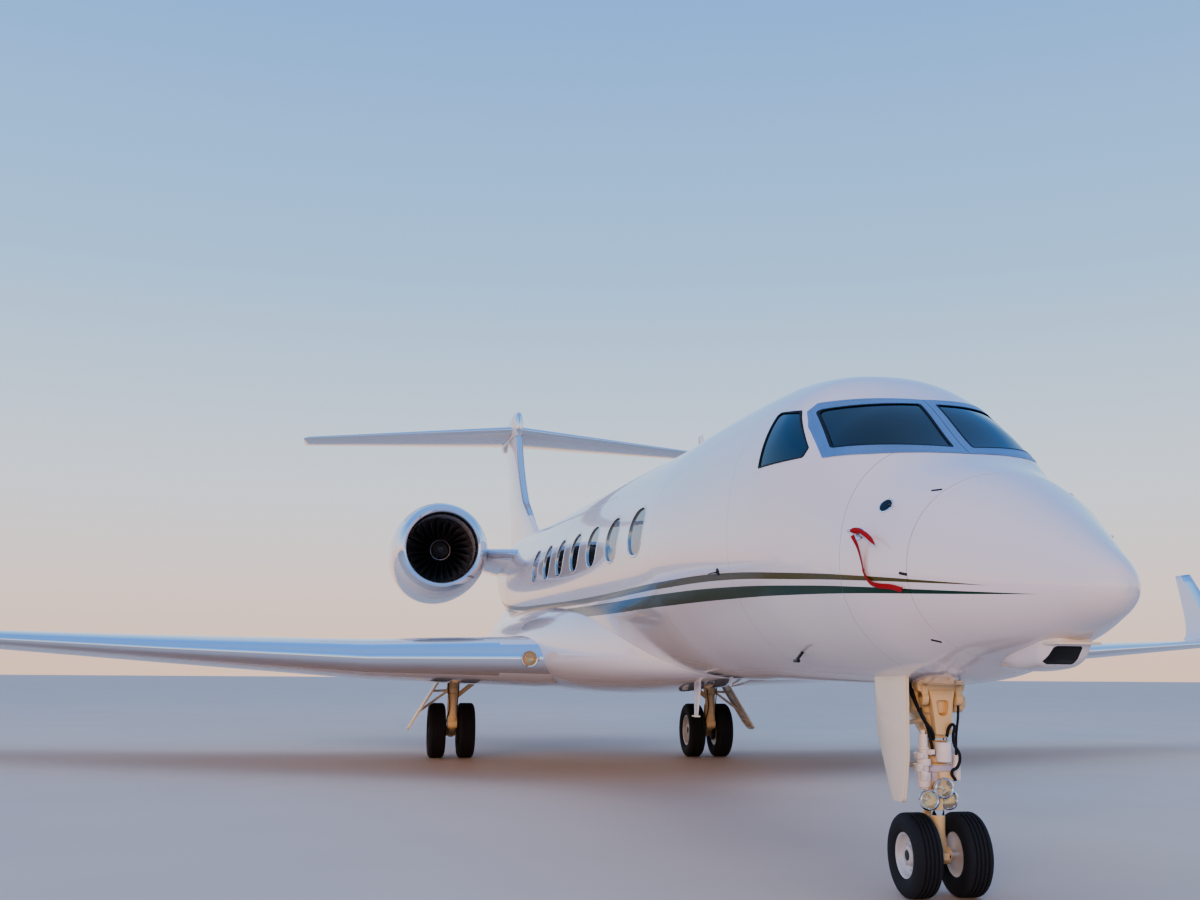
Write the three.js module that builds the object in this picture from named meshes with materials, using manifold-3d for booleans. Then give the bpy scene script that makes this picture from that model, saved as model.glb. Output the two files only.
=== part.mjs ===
// A large twin-engined business jet, parked on its landing gear with the airstair door closed.
// Millimetres, +Z up, nose towards -Y, the aircraft's left side towards +X.
// The origin is on the ground under the middle of the overall length, on the plane of symmetry.

import * as THREE from "three";
import { mergeVertices } from "three/addons/utils/BufferGeometryUtils.js";
import Module from "manifold-3d";

const wasm = await Module();
wasm.setup();

// Driving dimensions
const LENGTH = 29390;
const HALF_SPAN = 14250;
const HEIGHT = 7870;
const SEAT_GAP = 0.3; // clearance where one piece rests on another
const RUN_GAP = 10; // clearance between a moving piece and its neighbours

// Fuselage tube
const TUBE_HALF_WIDTH = 1184;
const TUBE_CROWN = 1192; // crown above the tube's axis
const TUBE_KEEL = 1199; // keel below the tube's axis
const AXIS_HEIGHT = 2602; // the axis above the ground, at the station below
const AXIS_STATION = 7550;
const AXIS_SLOPE = 0.0313; // the jet stands a little nose down
const WALL = 90; // skin, frames and lining
const HULL_SIDES = 32;

const RADOME_SEAM = 1125;
const COCKPIT_END = 5550;
const TUBE_START = 5800;
const CABIN_END = 14550;
const TUBE_END = 17050;
const HOLD_END = 24600; // the tail cone is solid aft of this
const TAIL_END = 26200;

// Wing
const WING_ROOT_X = 1150;
const WING_TIP_X = 13350;
const WING_LE_ROOT = 10620; // station of the leading edge at the root
const WING_LE_SWEEP = THREE.MathUtils.degToRad(30);
const WING_TE_ROOT = 17150;
const WING_KINK_X = 3600;
const TIP_CHORD = 1480;
const WINGLET_TOP = 3620;

// Tail
const TAIL_HALF_SPAN = 5360;
const TAIL_HEIGHT = 7420;

// Engines
const ENGINE_X = 2320;
const ENGINE_HEIGHT = 3615;
const ENGINE_LIP = 17350;
const FAN_RADIUS = 605;
const FAN_BLADES = 24;

// Landing gear
const NOSE_GEAR = 2250;
const MAIN_GEAR = 15970;
const MAIN_TRACK = 4370;
const NOSE_TYRE = { radius: 266.5, width: 184, spacing: 340, rim: 140 };
const MAIN_TYRE = { radius: 444.5, width: 279, spacing: 480, rim: 245 };

// Cabin
const FLOOR_DROP = 770; // the floor below the tube's axis
const WINDOW = { first: 6190, pitch: 1190, count: 7, width: 660, height: 480, rise: 190 };
const LINING = { from: 5820, to: 13850, half: 300, thick: 20 }; // the panel behind the cabin windows

// Places along the jet are given as stations, in millimetres aft of the nose tip.
const at = (station) => station - LENGTH / 2;
const tubeAxis = (station) => AXIS_HEIGHT + AXIS_SLOPE * (station - AXIS_STATION);
const floorAt = (station) => tubeAxis(station) - FLOOR_DROP;
const windowStations = Array.from({ length: WINDOW.count }, (_, i) => WINDOW.first + i * WINDOW.pitch);
const rad = THREE.MathUtils.degToRad;
const SIDES = [
  { name: "right", sign: -1 },
  { name: "left", sign: 1 },
];

// Colours and finishes
const finish = (color, roughness, metalness) =>
  new THREE.MeshStandardMaterial({ color, roughness, metalness });
const WHITE = finish(0xe9e4e6, 0.18, 0.0);
const BARE_METAL = finish(0xb9c4d6, 0.22, 0.95);
const FRAME_METAL = finish(0x7f98bd, 0.4, 0.8);
const GLASS = finish(0x12303f, 0.05, 0.1);
const RUBBER = finish(0x17161a, 0.85, 0.0);
const WHEEL = finish(0xb7b6b6, 0.4, 0.5);
const GEAR = finish(0xe2cfa8, 0.45, 0.1);
const DARK = finish(0x2a2c31, 0.6, 0.2);
const LEATHER = finish(0xcdbfa6, 0.55, 0.0);
const CARPET = finish(0x8d8375, 0.95, 0.0);
const BLADE = finish(0x5d6168, 0.3, 0.9);

// Solids

function solidOf(geometry) {
  const bare = geometry.clone();
  bare.deleteAttribute("normal");
  bare.deleteAttribute("uv");
  const merged = mergeVertices(bare, 1e-3);
  return new wasm.Manifold(
    new wasm.Mesh({
      numProp: 3,
      vertProperties: Float32Array.from(merged.attributes.position.array),
      triVerts: Uint32Array.from(merged.index.array),
    }),
  );
}

function geometryOf(solid) {
  const mesh = solid.getMesh();
  const geometry = new THREE.BufferGeometry();
  geometry.setAttribute("position", new THREE.BufferAttribute(mesh.vertProperties.slice(), 3));
  geometry.setIndex(new THREE.BufferAttribute(mesh.triVerts.slice(), 1));
  return geometry;
}

const join = (...solids) => solids.reduce((whole, next) => whole.add(next));
const cut = (solid, ...tools) => tools.reduce((rest, tool) => rest.subtract(tool), solid);

// Joins rings with the same number of points into one closed body, with a flat cap at each end.
function loft(rings) {
  const sides = rings[0].length;
  const points = rings.flat();
  const faces = [];
  for (let r = 0; r + 1 < rings.length; r += 1) {
    for (let i = 0; i < sides; i += 1) {
      const a = r * sides + i;
      const b = r * sides + ((i + 1) % sides);
      faces.push([a, b, b + sides], [a, b + sides, a + sides]);
    }
  }
  const last = (rings.length - 1) * sides;
  for (const [start, flip] of [[0, true], [last, false]]) {
    const middle = points.length;
    const ring = points.slice(start, start + sides);
    points.push(ring[0].map((_, axis) => ring.reduce((sum, p) => sum + p[axis], 0) / sides));
    for (let i = 0; i < sides; i += 1) {
      const edge = [start + i, start + ((i + 1) % sides)];
      faces.push(flip ? [edge[1], edge[0], middle] : [...edge, middle]);
    }
  }
  let volume = 0;
  for (const face of faces) {
    const [a, b, c] = face.map((i) => new THREE.Vector3(...points[i]));
    volume += a.dot(b.cross(c));
  }
  const geometry = new THREE.BufferGeometry();
  const outward = volume > 0 ? faces : faces.map(([a, b, c]) => [a, c, b]);
  geometry.setAttribute("position", new THREE.Float32BufferAttribute(points.flat(), 3));
  geometry.setIndex(outward.flat());
  return solidOf(geometry);
}

// A box between two corners.
function block(low, high) {
  const size = high.map((value, axis) => value - low[axis]);
  const geometry = new THREE.BoxGeometry(...size);
  geometry.translate(...low.map((value, axis) => value + size[axis] / 2));
  return solidOf(geometry);
}

// A round bar from one point to another, with a radius at each end.
function bar(from, to, startRadius, endRadius = startRadius, sides = 10) {
  const start = new THREE.Vector3(...from);
  const way = new THREE.Vector3(...to).sub(start);
  const geometry = new THREE.CylinderGeometry(endRadius, startRadius, way.length(), sides);
  geometry.translate(0, way.length() / 2, 0);
  const turn = new THREE.Quaternion().setFromUnitVectors(new THREE.Vector3(0, 1, 0), way.normalize());
  geometry.applyQuaternion(turn);
  geometry.translate(...from);
  return solidOf(geometry);
}

// A lathe profile of [radius, distance] pairs, turned about an axis along Y (aft) or X (left).
function turned(profile, axis, place, segments = 32) {
  const points = profile.map(([radius, along]) => new THREE.Vector2(radius, along));
  const geometry = new THREE.LatheGeometry(points, segments);
  geometry.rotateY(Math.PI / segments);
  if (axis === "x") geometry.rotateZ(-Math.PI / 2);
  geometry.translate(...place);
  const solid = solidOf(geometry);
  return solid.volume() > 0 ? solid : solidOf(flipped(geometry));
}

function flipped(geometry) {
  const index = geometry.index.array;
  for (let i = 0; i < index.length; i += 3) {
    [index[i], index[i + 1]] = [index[i + 1], index[i]];
  }
  return geometry;
}

// A flat outline, given thickness.
function slab(outline, depth) {
  const drawn = outline instanceof THREE.Shape;
  const shape = drawn ? outline : new THREE.Shape(outline.map((p) => new THREE.Vector2(...p)));
  return new THREE.ExtrudeGeometry(shape, { depth, bevelEnabled: false, curveSegments: 5 });
}

// A flat outline in the front view (x, z), carried aft from one station to another.
function throughFront(outline, from, to) {
  const geometry = slab(outline, to - from);
  geometry.rotateX(Math.PI / 2);
  geometry.translate(0, at(to), 0);
  return solidOf(geometry);
}

// A flat outline in the side view (station, z), carried across between two values of x.
function throughSide(outline, oneEnd, otherEnd) {
  const [from, to] = [Math.min(oneEnd, otherEnd), Math.max(oneEnd, otherEnd)];
  const geometry = slab(outline, to - from);
  geometry.rotateX(Math.PI / 2);
  geometry.rotateZ(Math.PI / 2);
  geometry.translate(from, at(0), 0);
  return solidOf(geometry);
}

// An oval outline: a superellipse, rounder than a rectangle and fuller than an ellipse.
function oval(centreU, centreV, width, height, points = 14, power = 2.4) {
  const shape = [];
  for (let i = 0; i < points; i += 1) {
    const angle = (2 * Math.PI * i) / points;
    shape.push([
      centreU + (width / 2) * bulge(Math.cos(angle), power),
      centreV + (height / 2) * bulge(Math.sin(angle), power),
    ]);
  }
  return shape;
}

const bulge = (value, power) => Math.sign(value) * Math.abs(value) ** (2 / power);

// Moves each point of an outline away from its middle, by about the same distance all round.
function widened(outline, distance) {
  const middle = [0, 1].map((axis) => outline.reduce((sum, p) => sum + p[axis], 0) / outline.length);
  return outline.map((p) => {
    const out = new THREE.Vector2(p[0] - middle[0], p[1] - middle[1]);
    out.setLength(out.length() + distance * 1.25);
    return [middle[0] + out.x, middle[1] + out.y];
  });
}

// Fuselage sections. Columns: station, half width, crown height, keel height, height of the widest
// line, and power, which is 2 for a round crown and more for a square one.
const NOSE_SECTIONS = [
  [0, 12, 1868, 1842, 1856, 2],
  [30, 81, 1941, 1786, 1862, 2],
  [120, 159, 2021, 1719, 1866, 2],
  [300, 253, 2136, 1655, 1884, 2],
  [600, 408, 2314, 1574, 1923, 2],
  [RADOME_SEAM, 662, 2592, 1478, 2000, 2.1],
  [1600, 799, 2793, 1372, 2040, 2.3],
  [2200, 893, 3239, 1342, 2160, 2.5],
  [2900, 1015, 3584, 1346, 2310, 2.4],
  [3800, 1075, 3713, 1351, 2410, 2.15],
  [5000, 1152, 3753, 1358, 2510, 2],
];
const TAIL_SECTIONS = [
  [18550, 1145, 4160, 2010, 3050, 2],
  [20050, 1040, 4215, 2350, 3230, 2],
  [21550, 875, 4255, 2740, 3460, 2],
  [23200, 650, 4272, 3110, 3680, 2],
  [24900, 400, 4262, 3470, 3870, 2],
  [TAIL_END, 190, 4200, 3760, 3980, 2],
];
const tubeSection = (station) => [
  station,
  TUBE_HALF_WIDTH,
  tubeAxis(station) + TUBE_CROWN,
  tubeAxis(station) - TUBE_KEEL,
  tubeAxis(station),
  2,
];
const HULL = [...NOSE_SECTIONS, tubeSection(TUBE_START), tubeSection(TUBE_END), ...TAIL_SECTIONS];

// The section at any station, read between the rows of the table.
function sectionAt(station) {
  const next = Math.min(HULL.length - 1, Math.max(1, HULL.findIndex((row) => row[0] >= station)));
  const [before, after] = [HULL[next - 1], HULL[next]];
  const share = (station - before[0]) / (after[0] - before[0]);
  return before.map((value, column) => value + share * (after[column] - value));
}

// The hull's section at a station, grown outwards by a distance. The lining inside is plainer than the skin.
function hullRing(station, grow = 0) {
  const [, halfWidth, crown, keel, waist, power] = sectionAt(station);
  const sides = grow > -WALL ? HULL_SIDES : HULL_SIDES / 2;
  const ring = [];
  for (let i = 0; i < sides; i += 1) {
    const angle = (2 * Math.PI * i) / sides;
    const up = Math.cos(angle);
    const reach = up > 0 ? crown - waist + grow : waist - keel + grow;
    const roundness = up > 0 ? power : 2;
    ring.push([
      (halfWidth + grow) * bulge(Math.sin(angle), roundness),
      at(station),
      waist + reach * bulge(up, roundness),
    ]);
  }
  return ring;
}

// The hull between two stations, with its own sections between them.
function hullBody(from, to, grow = 0) {
  const between = HULL.map((row) => row[0]).filter((station) => station > from + 1 && station < to - 1);
  return loft([from, ...between, to].map((station) => hullRing(station, grow)));
}

// Cockpit windows: outlines of the right-hand side. The windshield is drawn in the front view (x, z)
// and the side window in the side view (station, z).
const FRAME_OUTLINE = [
  [0, 2788],
  [-560, 2808],
  [-765, 2828],
  [-740, 3100],
  [-695, 3238],
  [-622, 3298],
  [-343, 3288],
  [0, 3276],
];
const WINDSHIELD_OUTLINE = [
  [-60, 2843],
  [-720, 2890],
  [-668, 3215],
  [-640, 3234],
  [-52, 3230],
];
const SIDE_OUTLINE = [
  [2960, 2868],
  [3058, 3290],
  [3020, 3306],
  [2712, 3262],
  [2362, 2925],
  [2385, 2862],
];
const mirrored = (outline) => outline.map(([u, v]) => [-u, v]);

const DOOR = {
  from: 3890,
  to: 4820,
  sill: 1700,
  head: 3290,
  corner: 160,
  axis: { x: 845, z: 1690 }, // the hinge, just outside the sill
  hinges: [4070, 4590], // the forward edge of each hinge arm
};

// The fixed halves of the door's hinges, beside the arms on the door.
function doorBrackets() {
  const { x, z } = DOOR.axis;
  const body = hullBody(3500, 5200);
  return DOOR.hinges.map((station) => {
    const y = at(station) + 50 + SEAT_GAP;
    const bracket = join(bar([x, y, z], [x, y + 45, z], 16), block([x - 140, y, z - 60], [x + 12, y + 45, z - 12]));
    return bracket.subtract(body);
  });
}

function doorOutline(grow) {
  const [left, right] = [DOOR.from - grow, DOOR.to + grow];
  const [low, high] = [DOOR.sill - grow, DOOR.head + grow];
  const corner = DOOR.corner;
  const shape = new THREE.Shape();
  shape.moveTo(left, low);
  shape.lineTo(right, low);
  shape.lineTo(right, high - corner);
  shape.absarc(right - corner, high - corner, corner, 0, Math.PI / 2);
  shape.lineTo(left + corner, high);
  shape.absarc(left + corner, high - corner, corner, Math.PI / 2, Math.PI);
  return shape;
}

function windowOutline(station, grow = 0) {
  const height = tubeAxis(station) + WINDOW.rise;
  return oval(station, height, WINDOW.width + 2 * grow, WINDOW.height + 2 * grow);
}

// Everything below adds named meshes to this group.
const jet = new THREE.Group();

function piece(name, solid, material) {
  const mesh = new THREE.Mesh(geometryOf(solid.simplify(SEAT_GAP / 3)), material);
  mesh.name = name;
  jet.add(mesh);
  return mesh;
}

function addNose() {
  piece("radome", hullBody(0, RADOME_SEAM - SEAT_GAP), WHITE);

  const shell = cut(
    hullBody(RADOME_SEAM, COCKPIT_END - SEAT_GAP),
    hullBody(RADOME_SEAM + WALL, COCKPIT_END + 50, -WALL),
  );
  const bothFrames = [FRAME_OUTLINE, mirrored(FRAME_OUTLINE)];
  const frameHole = join(...bothFrames.map((outline) => throughFront(outline, 1250, 3150)));
  const panes = [WINDSHIELD_OUTLINE, mirrored(WINDSHIELD_OUTLINE)];
  const paneHoles = panes.map((outline) => throughFront(outline, 1150, 3250));
  const frameBody = join(
    ...bothFrames.map((outline) => throughFront(widened(outline, -SEAT_GAP), 1250, 3150)),
    throughFront([[-60, 2791], [60, 2791], [60, 3275], [-60, 3275]], 1250, 3150),
  );
  const besideFrame = join(...bothFrames.map((outline) => throughFront(widened(outline, 45), 1250, 3150)));
  const besideFrameGap = join(...bothFrames.map((outline) => throughFront(widened(outline, 45 + SEAT_GAP), 1250, 3150)));
  const sideHoles = SIDES.map(({ sign }) => throughSide(SIDE_OUTLINE, sign * 1300, sign * 500).subtract(besideFrame));
  const doorHole = throughSide(doorOutline(RUN_GAP), 500, 1400);
  piece("windshield_frame", cut(shell.intersect(frameBody), ...paneHoles), FRAME_METAL);
  const section = cut(shell, frameHole, doorHole, ...sideHoles);
  piece("cockpit_section", join(section, ...doorBrackets()), WHITE);

  const glassSkin = cut(hullBody(RADOME_SEAM, 3900, -6), hullBody(RADOME_SEAM - 10, 3910, -30));
  for (const { name, sign } of SIDES) {
    const outline = sign < 0 ? WINDSHIELD_OUTLINE : mirrored(WINDSHIELD_OUTLINE);
    const pane = throughFront(widened(outline, -SEAT_GAP), 1150, 3250);
    piece(`windshield_${name}`, glassSkin.intersect(pane), GLASS);
    const side = throughSide(widened(SIDE_OUTLINE, -SEAT_GAP), sign * 1300, sign * 500);
    piece(`side_window_${name}`, cut(glassSkin.intersect(side), besideFrameGap), GLASS);
  }
  addChinSensor();
}

// The sensor housing under the nose, a rounded box with a window facing forward.
function addChinSensor() {
  const rings = [
    [440, 40, 1570],
    [480, 110, 1490],
    [600, 150, 1452],
    [850, 150, 1436],
    [1150, 110, 1440],
    [1290, 40, 1470],
  ].map(([station, halfWidth, low]) => [
    [-halfWidth, at(station), low + 30],
    [-halfWidth + 30, at(station), low],
    [halfWidth - 30, at(station), low],
    [halfWidth, at(station), low + 30],
    [halfWidth, at(station), 1700],
    [-halfWidth, at(station), 1700],
  ]);
  const housing = cut(loft(rings), hullBody(0, COCKPIT_END, SEAT_GAP));
  piece("chin_sensor", housing, WHITE);
}

// A band along the cabin, above and below the line of the windows.
function windowBand(from, to, half) {
  const line = (station) => tubeAxis(station) + WINDOW.rise;
  return [
    [from, line(from) + half],
    [from, line(from) - half],
    [to, line(to) - half],
    [to, line(to) + half],
  ];
}

function addCabin() {
  const outside = hullBody(COCKPIT_END, CABIN_END);
  const inside = hullBody(COCKPIT_END - 50, CABIN_END + 50, -WALL);
  const holes = windowStations.map((station) => throughSide(windowOutline(station), -1400, 1400));
  piece("cabin_section", cut(outside, inside, ...holes), WHITE);

  // Each row of panes is carried by the lining panel behind it.
  const { from, to, half, thick } = LINING;
  const skin = (depth, spare) => hullBody(from - spare, to + spare, -depth);
  const panel = cut(skin(WALL + SEAT_GAP, 0), skin(WALL + thick, 50));
  const glazing = cut(skin(14, 0), skin(WALL + thick / 2, 50));
  for (const { name, sign } of SIDES) {
    const lining = panel.intersect(throughSide(windowBand(from, to, half), sign * 700, sign * 1400));
    const panes = windowStations.map((station) =>
      glazing.intersect(throughSide(windowOutline(station, -2), sign * 900, sign * 1400)),
    );
    piece(`cabin_windows_${name}`, join(lining, ...panes), GLASS);
  }
}

function addDoor() {
  const panel = cut(
    hullBody(RADOME_SEAM, COCKPIT_END - SEAT_GAP),
    hullBody(RADOME_SEAM + WALL, COCKPIT_END + 50, -WALL),
  ).intersect(throughSide(doorOutline(0), 500, 1400));
  const steps = [];
  const pitch = (DOOR.head - DOOR.sill - 260) / 5;
  for (let i = 0; i < 5; i += 1) {
    const height = DOOR.sill + 150 + i * pitch;
    steps.push(block([730, at(DOOR.from + 120), height], [1130, at(DOOR.to - 120), height + 30]));
  }
  const inner = hullBody(RADOME_SEAM, COCKPIT_END, -40);
  const treads = join(...steps).intersect(inner);
  const arms = DOOR.hinges.map((station) => {
    const [y, { x, z }] = [at(station), DOOR.axis];
    return join(
      bar([x, y, z], [x, y + 50, z], 16),
      block([x - 75, y, z + 11], [x + 10, y + 50, z + 45]),
    );
  });
  piece("airstair_door", join(panel, treads, ...arms), WHITE);
}

function addInterior() {
  const room = hullBody(1500, CABIN_END, -WALL - SEAT_GAP);
  const [from, to] = [2550, CABIN_END - 200];
  const floor = [[from, floorAt(from) - 50], [to, floorAt(to) - 50], [to, floorAt(to)], [from, floorAt(from)]];
  const doorWay = block([620, at(DOOR.from - 60), 1500], [1300, at(DOOR.to + 60), 2000]);
  piece("cabin_floor", cut(throughSide(floor, -1200, 1200).intersect(room), doorWay), CARPET);

  const dash = [[1850, 2300], [2450, 2300], [2450, 2520], [2200, 2680], [1950, 2700], [1850, 2600]];
  const foot = [[2250, floorAt(2250) + 60], [2550, floorAt(2550) + 60], [2550, floorAt(2550) + SEAT_GAP]];
  const pedestal = [...foot, [3000, floorAt(3000) + SEAT_GAP], [3000, 2250], [2350, 2400], [2250, 2400]];
  const console = join(throughSide(dash, -860, 860), throughSide(pedestal, -160, 160));
  piece("cockpit_console", console.intersect(room), DARK);
  for (const { name, sign } of SIDES) {
    addPilotSeat(name, sign);
  }
}

function addPilotSeat(name, sign) {
  const floor = floorAt(2900);
  const x = sign * 480;
  const foot = [[2900, floorAt(2900) + SEAT_GAP], [3200, floorAt(3200) + SEAT_GAP], [3200, floor + 300], [2900, floor + 300]];
  const seat = join(
    throughSide(foot, x - 120, x + 120),
    block([x - 240, at(2750), floor + 290], [x + 240, at(3270), floor + 430]),
    block([x - 235, at(3190), floor + 420], [x + 235, at(3320), floor + 1000]),
    block([x - 130, at(3200), floor + 980], [x + 130, at(3300), floor + 1180]),
  );
  piece(`pilot_seat_${name}`, seat, LEATHER);
}

// The body aft of the cabin is a shell like the cabin's, closed by the solid tail cone.
function addAftFuselage() {
  const hold = hullBody(CABIN_END - 50, HOLD_END, -WALL);
  piece("aft_fuselage", cut(hullBody(CABIN_END + SEAT_GAP, TAIL_END), hold), WHITE);
}

// The fairing between wing and body. Columns: station, half width, keel height, height of the widest line.
const FAIRING_SECTIONS = [
  [6850, 250, 1370, 1500],
  [8150, 800, 1285, 1560],
  [9550, 1180, 1200, 1620],
  [11050, 1440, 1140, 1680],
  [12550, 1580, 1120, 1720],
  [14550, 1620, 1130, 1760],
  [16350, 1560, 1200, 1820],
  [17750, 1350, 1380, 1980],
  [18850, 1000, 1640, 2200],
  [19750, 500, 1960, 2450],
];
const FAIRING_SIDES = 24;

function fairingRing([station, halfWidth, keel, waist], grow = 0) {
  const ring = [];
  for (let i = 0; i < FAIRING_SIDES; i += 1) {
    const angle = (2 * Math.PI * i) / FAIRING_SIDES;
    const up = Math.cos(angle);
    const reach = up > 0 ? 750 + grow : waist - keel + grow;
    ring.push([(halfWidth + grow) * bulge(Math.sin(angle), 2.4), at(station), waist + reach * bulge(up, 2.4)]);
  }
  return ring;
}

const fairingBody = (grow = 0) => loft(FAIRING_SECTIONS.map((row) => fairingRing(row, grow)));

function addFairing() {
  const saddle = cut(fairingBody(), hullBody(5000, 24000, SEAT_GAP));
  piece("belly_fairing", saddle, WHITE);
}

// Half the thickness of an aerofoil, as a share of its chord, at a share of the chord aft of its nose.
const halfThickness = (thickness, t) =>
  5 * thickness * (0.2969 * Math.sqrt(t) - 0.126 * t - 0.3516 * t ** 2 + 0.2843 * t ** 3 - 0.1036 * t ** 4) + 0.0012;
const CAMBER = 0.008;
const camberLine = (t) => CAMBER * 4 * t * (1 - t);
const CHORD_STOPS = [1, 0.82, 0.6, 0.4, 0.22, 0.1, 0.03, 0];

// The outline of an aerofoil, as shares of its chord: [aft of the nose, above the chord line].
function aerofoil(thickness, cambered = false) {
  const middle = (t) => (cambered ? camberLine(t) : 0);
  const upper = CHORD_STOPS.map((t) => [t, middle(t) + halfThickness(thickness, t)]);
  const lower = CHORD_STOPS.slice(0, -1).reverse().map((t) => [t, middle(t) - halfThickness(thickness, t)]);
  return [...upper, ...lower];
}

// The straight wing. Columns: x, height of the leading edge, height of the trailing edge, thickness share.
const WING_STATIONS = [
  [700, 1575, 1330, 0.108],
  [WING_KINK_X, 1575, 1465, 0.112],
  [6600, 1710, 1630, 0.105],
  [9100, 1840, 1767, 0.1],
  [WING_TIP_X, 2080, 2000, 0.1],
];
// The winglet. Columns: x and station of the leading edge, its height, chord, thickness share, and lean
// of the section away from level, in degrees.
const WINGLET_SECTIONS = [
  [13620, 17840, 2120, 1400, 0.095, 22],
  [13830, 18070, 2270, 1270, 0.09, 55],
  [13960, 18400, 2560, 1100, 0.085, 75],
  [HALF_SPAN - 20, 19610, WINGLET_TOP, 520, 0.08, 78],
];
const wingLeading = (x) => WING_LE_ROOT + Math.tan(WING_LE_SWEEP) * (x - WING_ROOT_X);
const tipTrailing = wingLeading(WING_TIP_X) + TIP_CHORD;

function wingTrailing(x) {
  const share = Math.max(0, (x - WING_KINK_X) / (WING_TIP_X - WING_KINK_X));
  return WING_TE_ROOT + share * (tipTrailing - WING_TE_ROOT);
}

// The wing's section at any x: nose and tail of the chord, and thickness share.
function wingSection(x) {
  const next = Math.max(1, WING_STATIONS.findIndex((row) => row[0] >= x));
  const [before, after] = [WING_STATIONS[next - 1], WING_STATIONS[next]];
  const share = (x - before[0]) / (after[0] - before[0]);
  const [, front, back, thickness] = before.map((value, column) => value + share * (after[column] - value));
  return { leading: wingLeading(x), trailing: wingTrailing(x), front, back, thickness };
}

function wingBody(sign) {
  const straight = WING_STATIONS.map(([x]) => {
    const { leading, trailing, front, back, thickness } = wingSection(x);
    const chord = trailing - leading;
    return aerofoil(thickness, true).map(([aft, above]) => [
      sign * x,
      at(leading + chord * aft),
      front + (back - front) * aft + chord * above,
    ]);
  });
  const curled = WINGLET_SECTIONS.map(([x, leading, height, chord, thickness, lean]) =>
    aerofoil(thickness).map(([aft, above]) => [
      sign * (x - chord * above * Math.sin(rad(lean))),
      at(leading + chord * aft),
      height + chord * above * Math.cos(rad(lean)),
    ]),
  );
  return loft([...straight, ...curled]);
}

// A movable surface turns on a line inside its own nose. The nose is round about that line, and it sits in
// a round cove in the fixed part. Each end of a hinge has a point on the line and the radius of the nose.
function hingeFrame(hinge) {
  const [start, end] = hinge.map(({ point }) => new THREE.Vector3(...point));
  const along = end.clone().sub(start);
  return { start, length: along.length(), along: along.normalize() };
}

function behindHinge(hinge, across, trim, clearance) {
  const { start, length, along } = hingeFrame(hinge);
  const aft = new THREE.Vector3().crossVectors(along, new THREE.Vector3(...across)).normalize();
  if (aft.y < 0) aft.negate();
  const up = new THREE.Vector3().crossVectors(aft, along).normalize();
  const place = (a, b, c) => start.clone().addScaledVector(along, a).addScaledVector(aft, b).addScaledVector(up, c);
  const ring = (a) => [
    [0, -600],
    [0, 600],
    [2400, 600],
    [2400, -600],
  ].map(([b, c]) => place(a, b, c).toArray());
  const ends = [trim, length - trim];
  const [first, second] = ends.map((a) => place(a, 0, 0).toArray());
  const nose = bar(first, second, hinge[0].radius + clearance, hinge[1].radius + clearance, 16);
  return join(loft(ends.map(ring)), nose);
}

// Two pins on the hinge line carry the movable surface at its ends.
function hingePins(hinge, radius) {
  const { start, length, along } = hingeFrame(hinge);
  const place = (a) => start.clone().addScaledVector(along, a).toArray();
  const reach = RUN_GAP - SEAT_GAP;
  return [
    bar(place(-60), place(reach), radius, radius, 10),
    bar(place(length + 60), place(length - reach), radius, radius, 10),
  ];
}

// Splits a surface into its fixed part and the part that moves on a hinge.
function withMovable(whole, hinge, across, pinRadius) {
  const moving = whole.intersect(behindHinge(hinge, across, RUN_GAP, 0));
  const fixed = join(cut(whole, behindHinge(hinge, across, 0, RUN_GAP)), ...hingePins(hinge, pinRadius));
  return { fixed, moving };
}

// A point on the middle surface of the wing, with the half thickness there as the nose's radius.
function wingHingeEnd(sign, x, station) {
  const { leading, trailing, front, back, thickness } = wingSection(x);
  const chord = trailing - leading;
  const t = (station - leading) / chord;
  const height = front + (back - front) * t + chord * camberLine(t);
  return { point: [sign * x, at(station), height], radius: chord * halfThickness(thickness, t) + 2 };
}

// Hinge lines of the wing, as the x and station of each end.
const FLAP_LINE = [[1900, 16310], [8800, 17480]];
const AILERON_LINE = [[9050, 17540], [12700, 18510]];

function addWings() {
  const level = [0, 0, 1];
  for (const { name, sign } of SIDES) {
    const whole = cut(wingBody(sign), fairingBody(SEAT_GAP), hullBody(5000, 24000, SEAT_GAP));
    const [flapHinge, aileronHinge] = [FLAP_LINE, AILERON_LINE].map((line) =>
      line.map(([x, station]) => wingHingeEnd(sign, x, station)),
    );
    const inner = withMovable(whole, flapHinge, level, 18);
    const outer = withMovable(inner.fixed, aileronHinge, level, 12);
    piece(`wing_${name}`, outer.fixed, BARE_METAL);
    piece(`flap_${name}`, inner.moving, WHITE);
    piece(`aileron_${name}`, outer.moving, WHITE);
  }
}

// Fin sections, from the body up. Columns: height, station of the leading edge, chord, thickness share.
const FIN_SECTIONS = [
  [4000, 20900, 5500, 0.04],
  [4620, 22150, 4480, 0.055],
  [5050, 23050, 3820, 0.075],
  [5370, 23720, 3330, 0.09],
  [6470, 24850, 2820, 0.1],
  [7200, 25350, 2730, 0.1],
];
// The rounded cap that holds the tailplane. Columns: station, half width, lowest and highest point.
const CAP_SECTIONS = [
  [25400, 30, 7330, 7700],
  [25560, 110, 7240, 7840],
  [25800, 150, 7180, HEIGHT],
  [26500, 180, 7180, 7830],
  [27700, 180, 7190, 7690],
  [28600, 110, 7260, 7560],
  [29050, 25, 7340, 7450],
];
const CAP_SIDES = 14;

// Tailplane sections, one half. Columns: x, station of the leading edge, chord, thickness share.
const TAILPLANE_SECTIONS = [
  [140, 25765, 2720, 0.1],
  [TAIL_HALF_SPAN - 70, 28130, 1230, 0.09],
  [TAIL_HALF_SPAN, 28250, LENGTH - 28250, 0.05],
];

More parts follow.
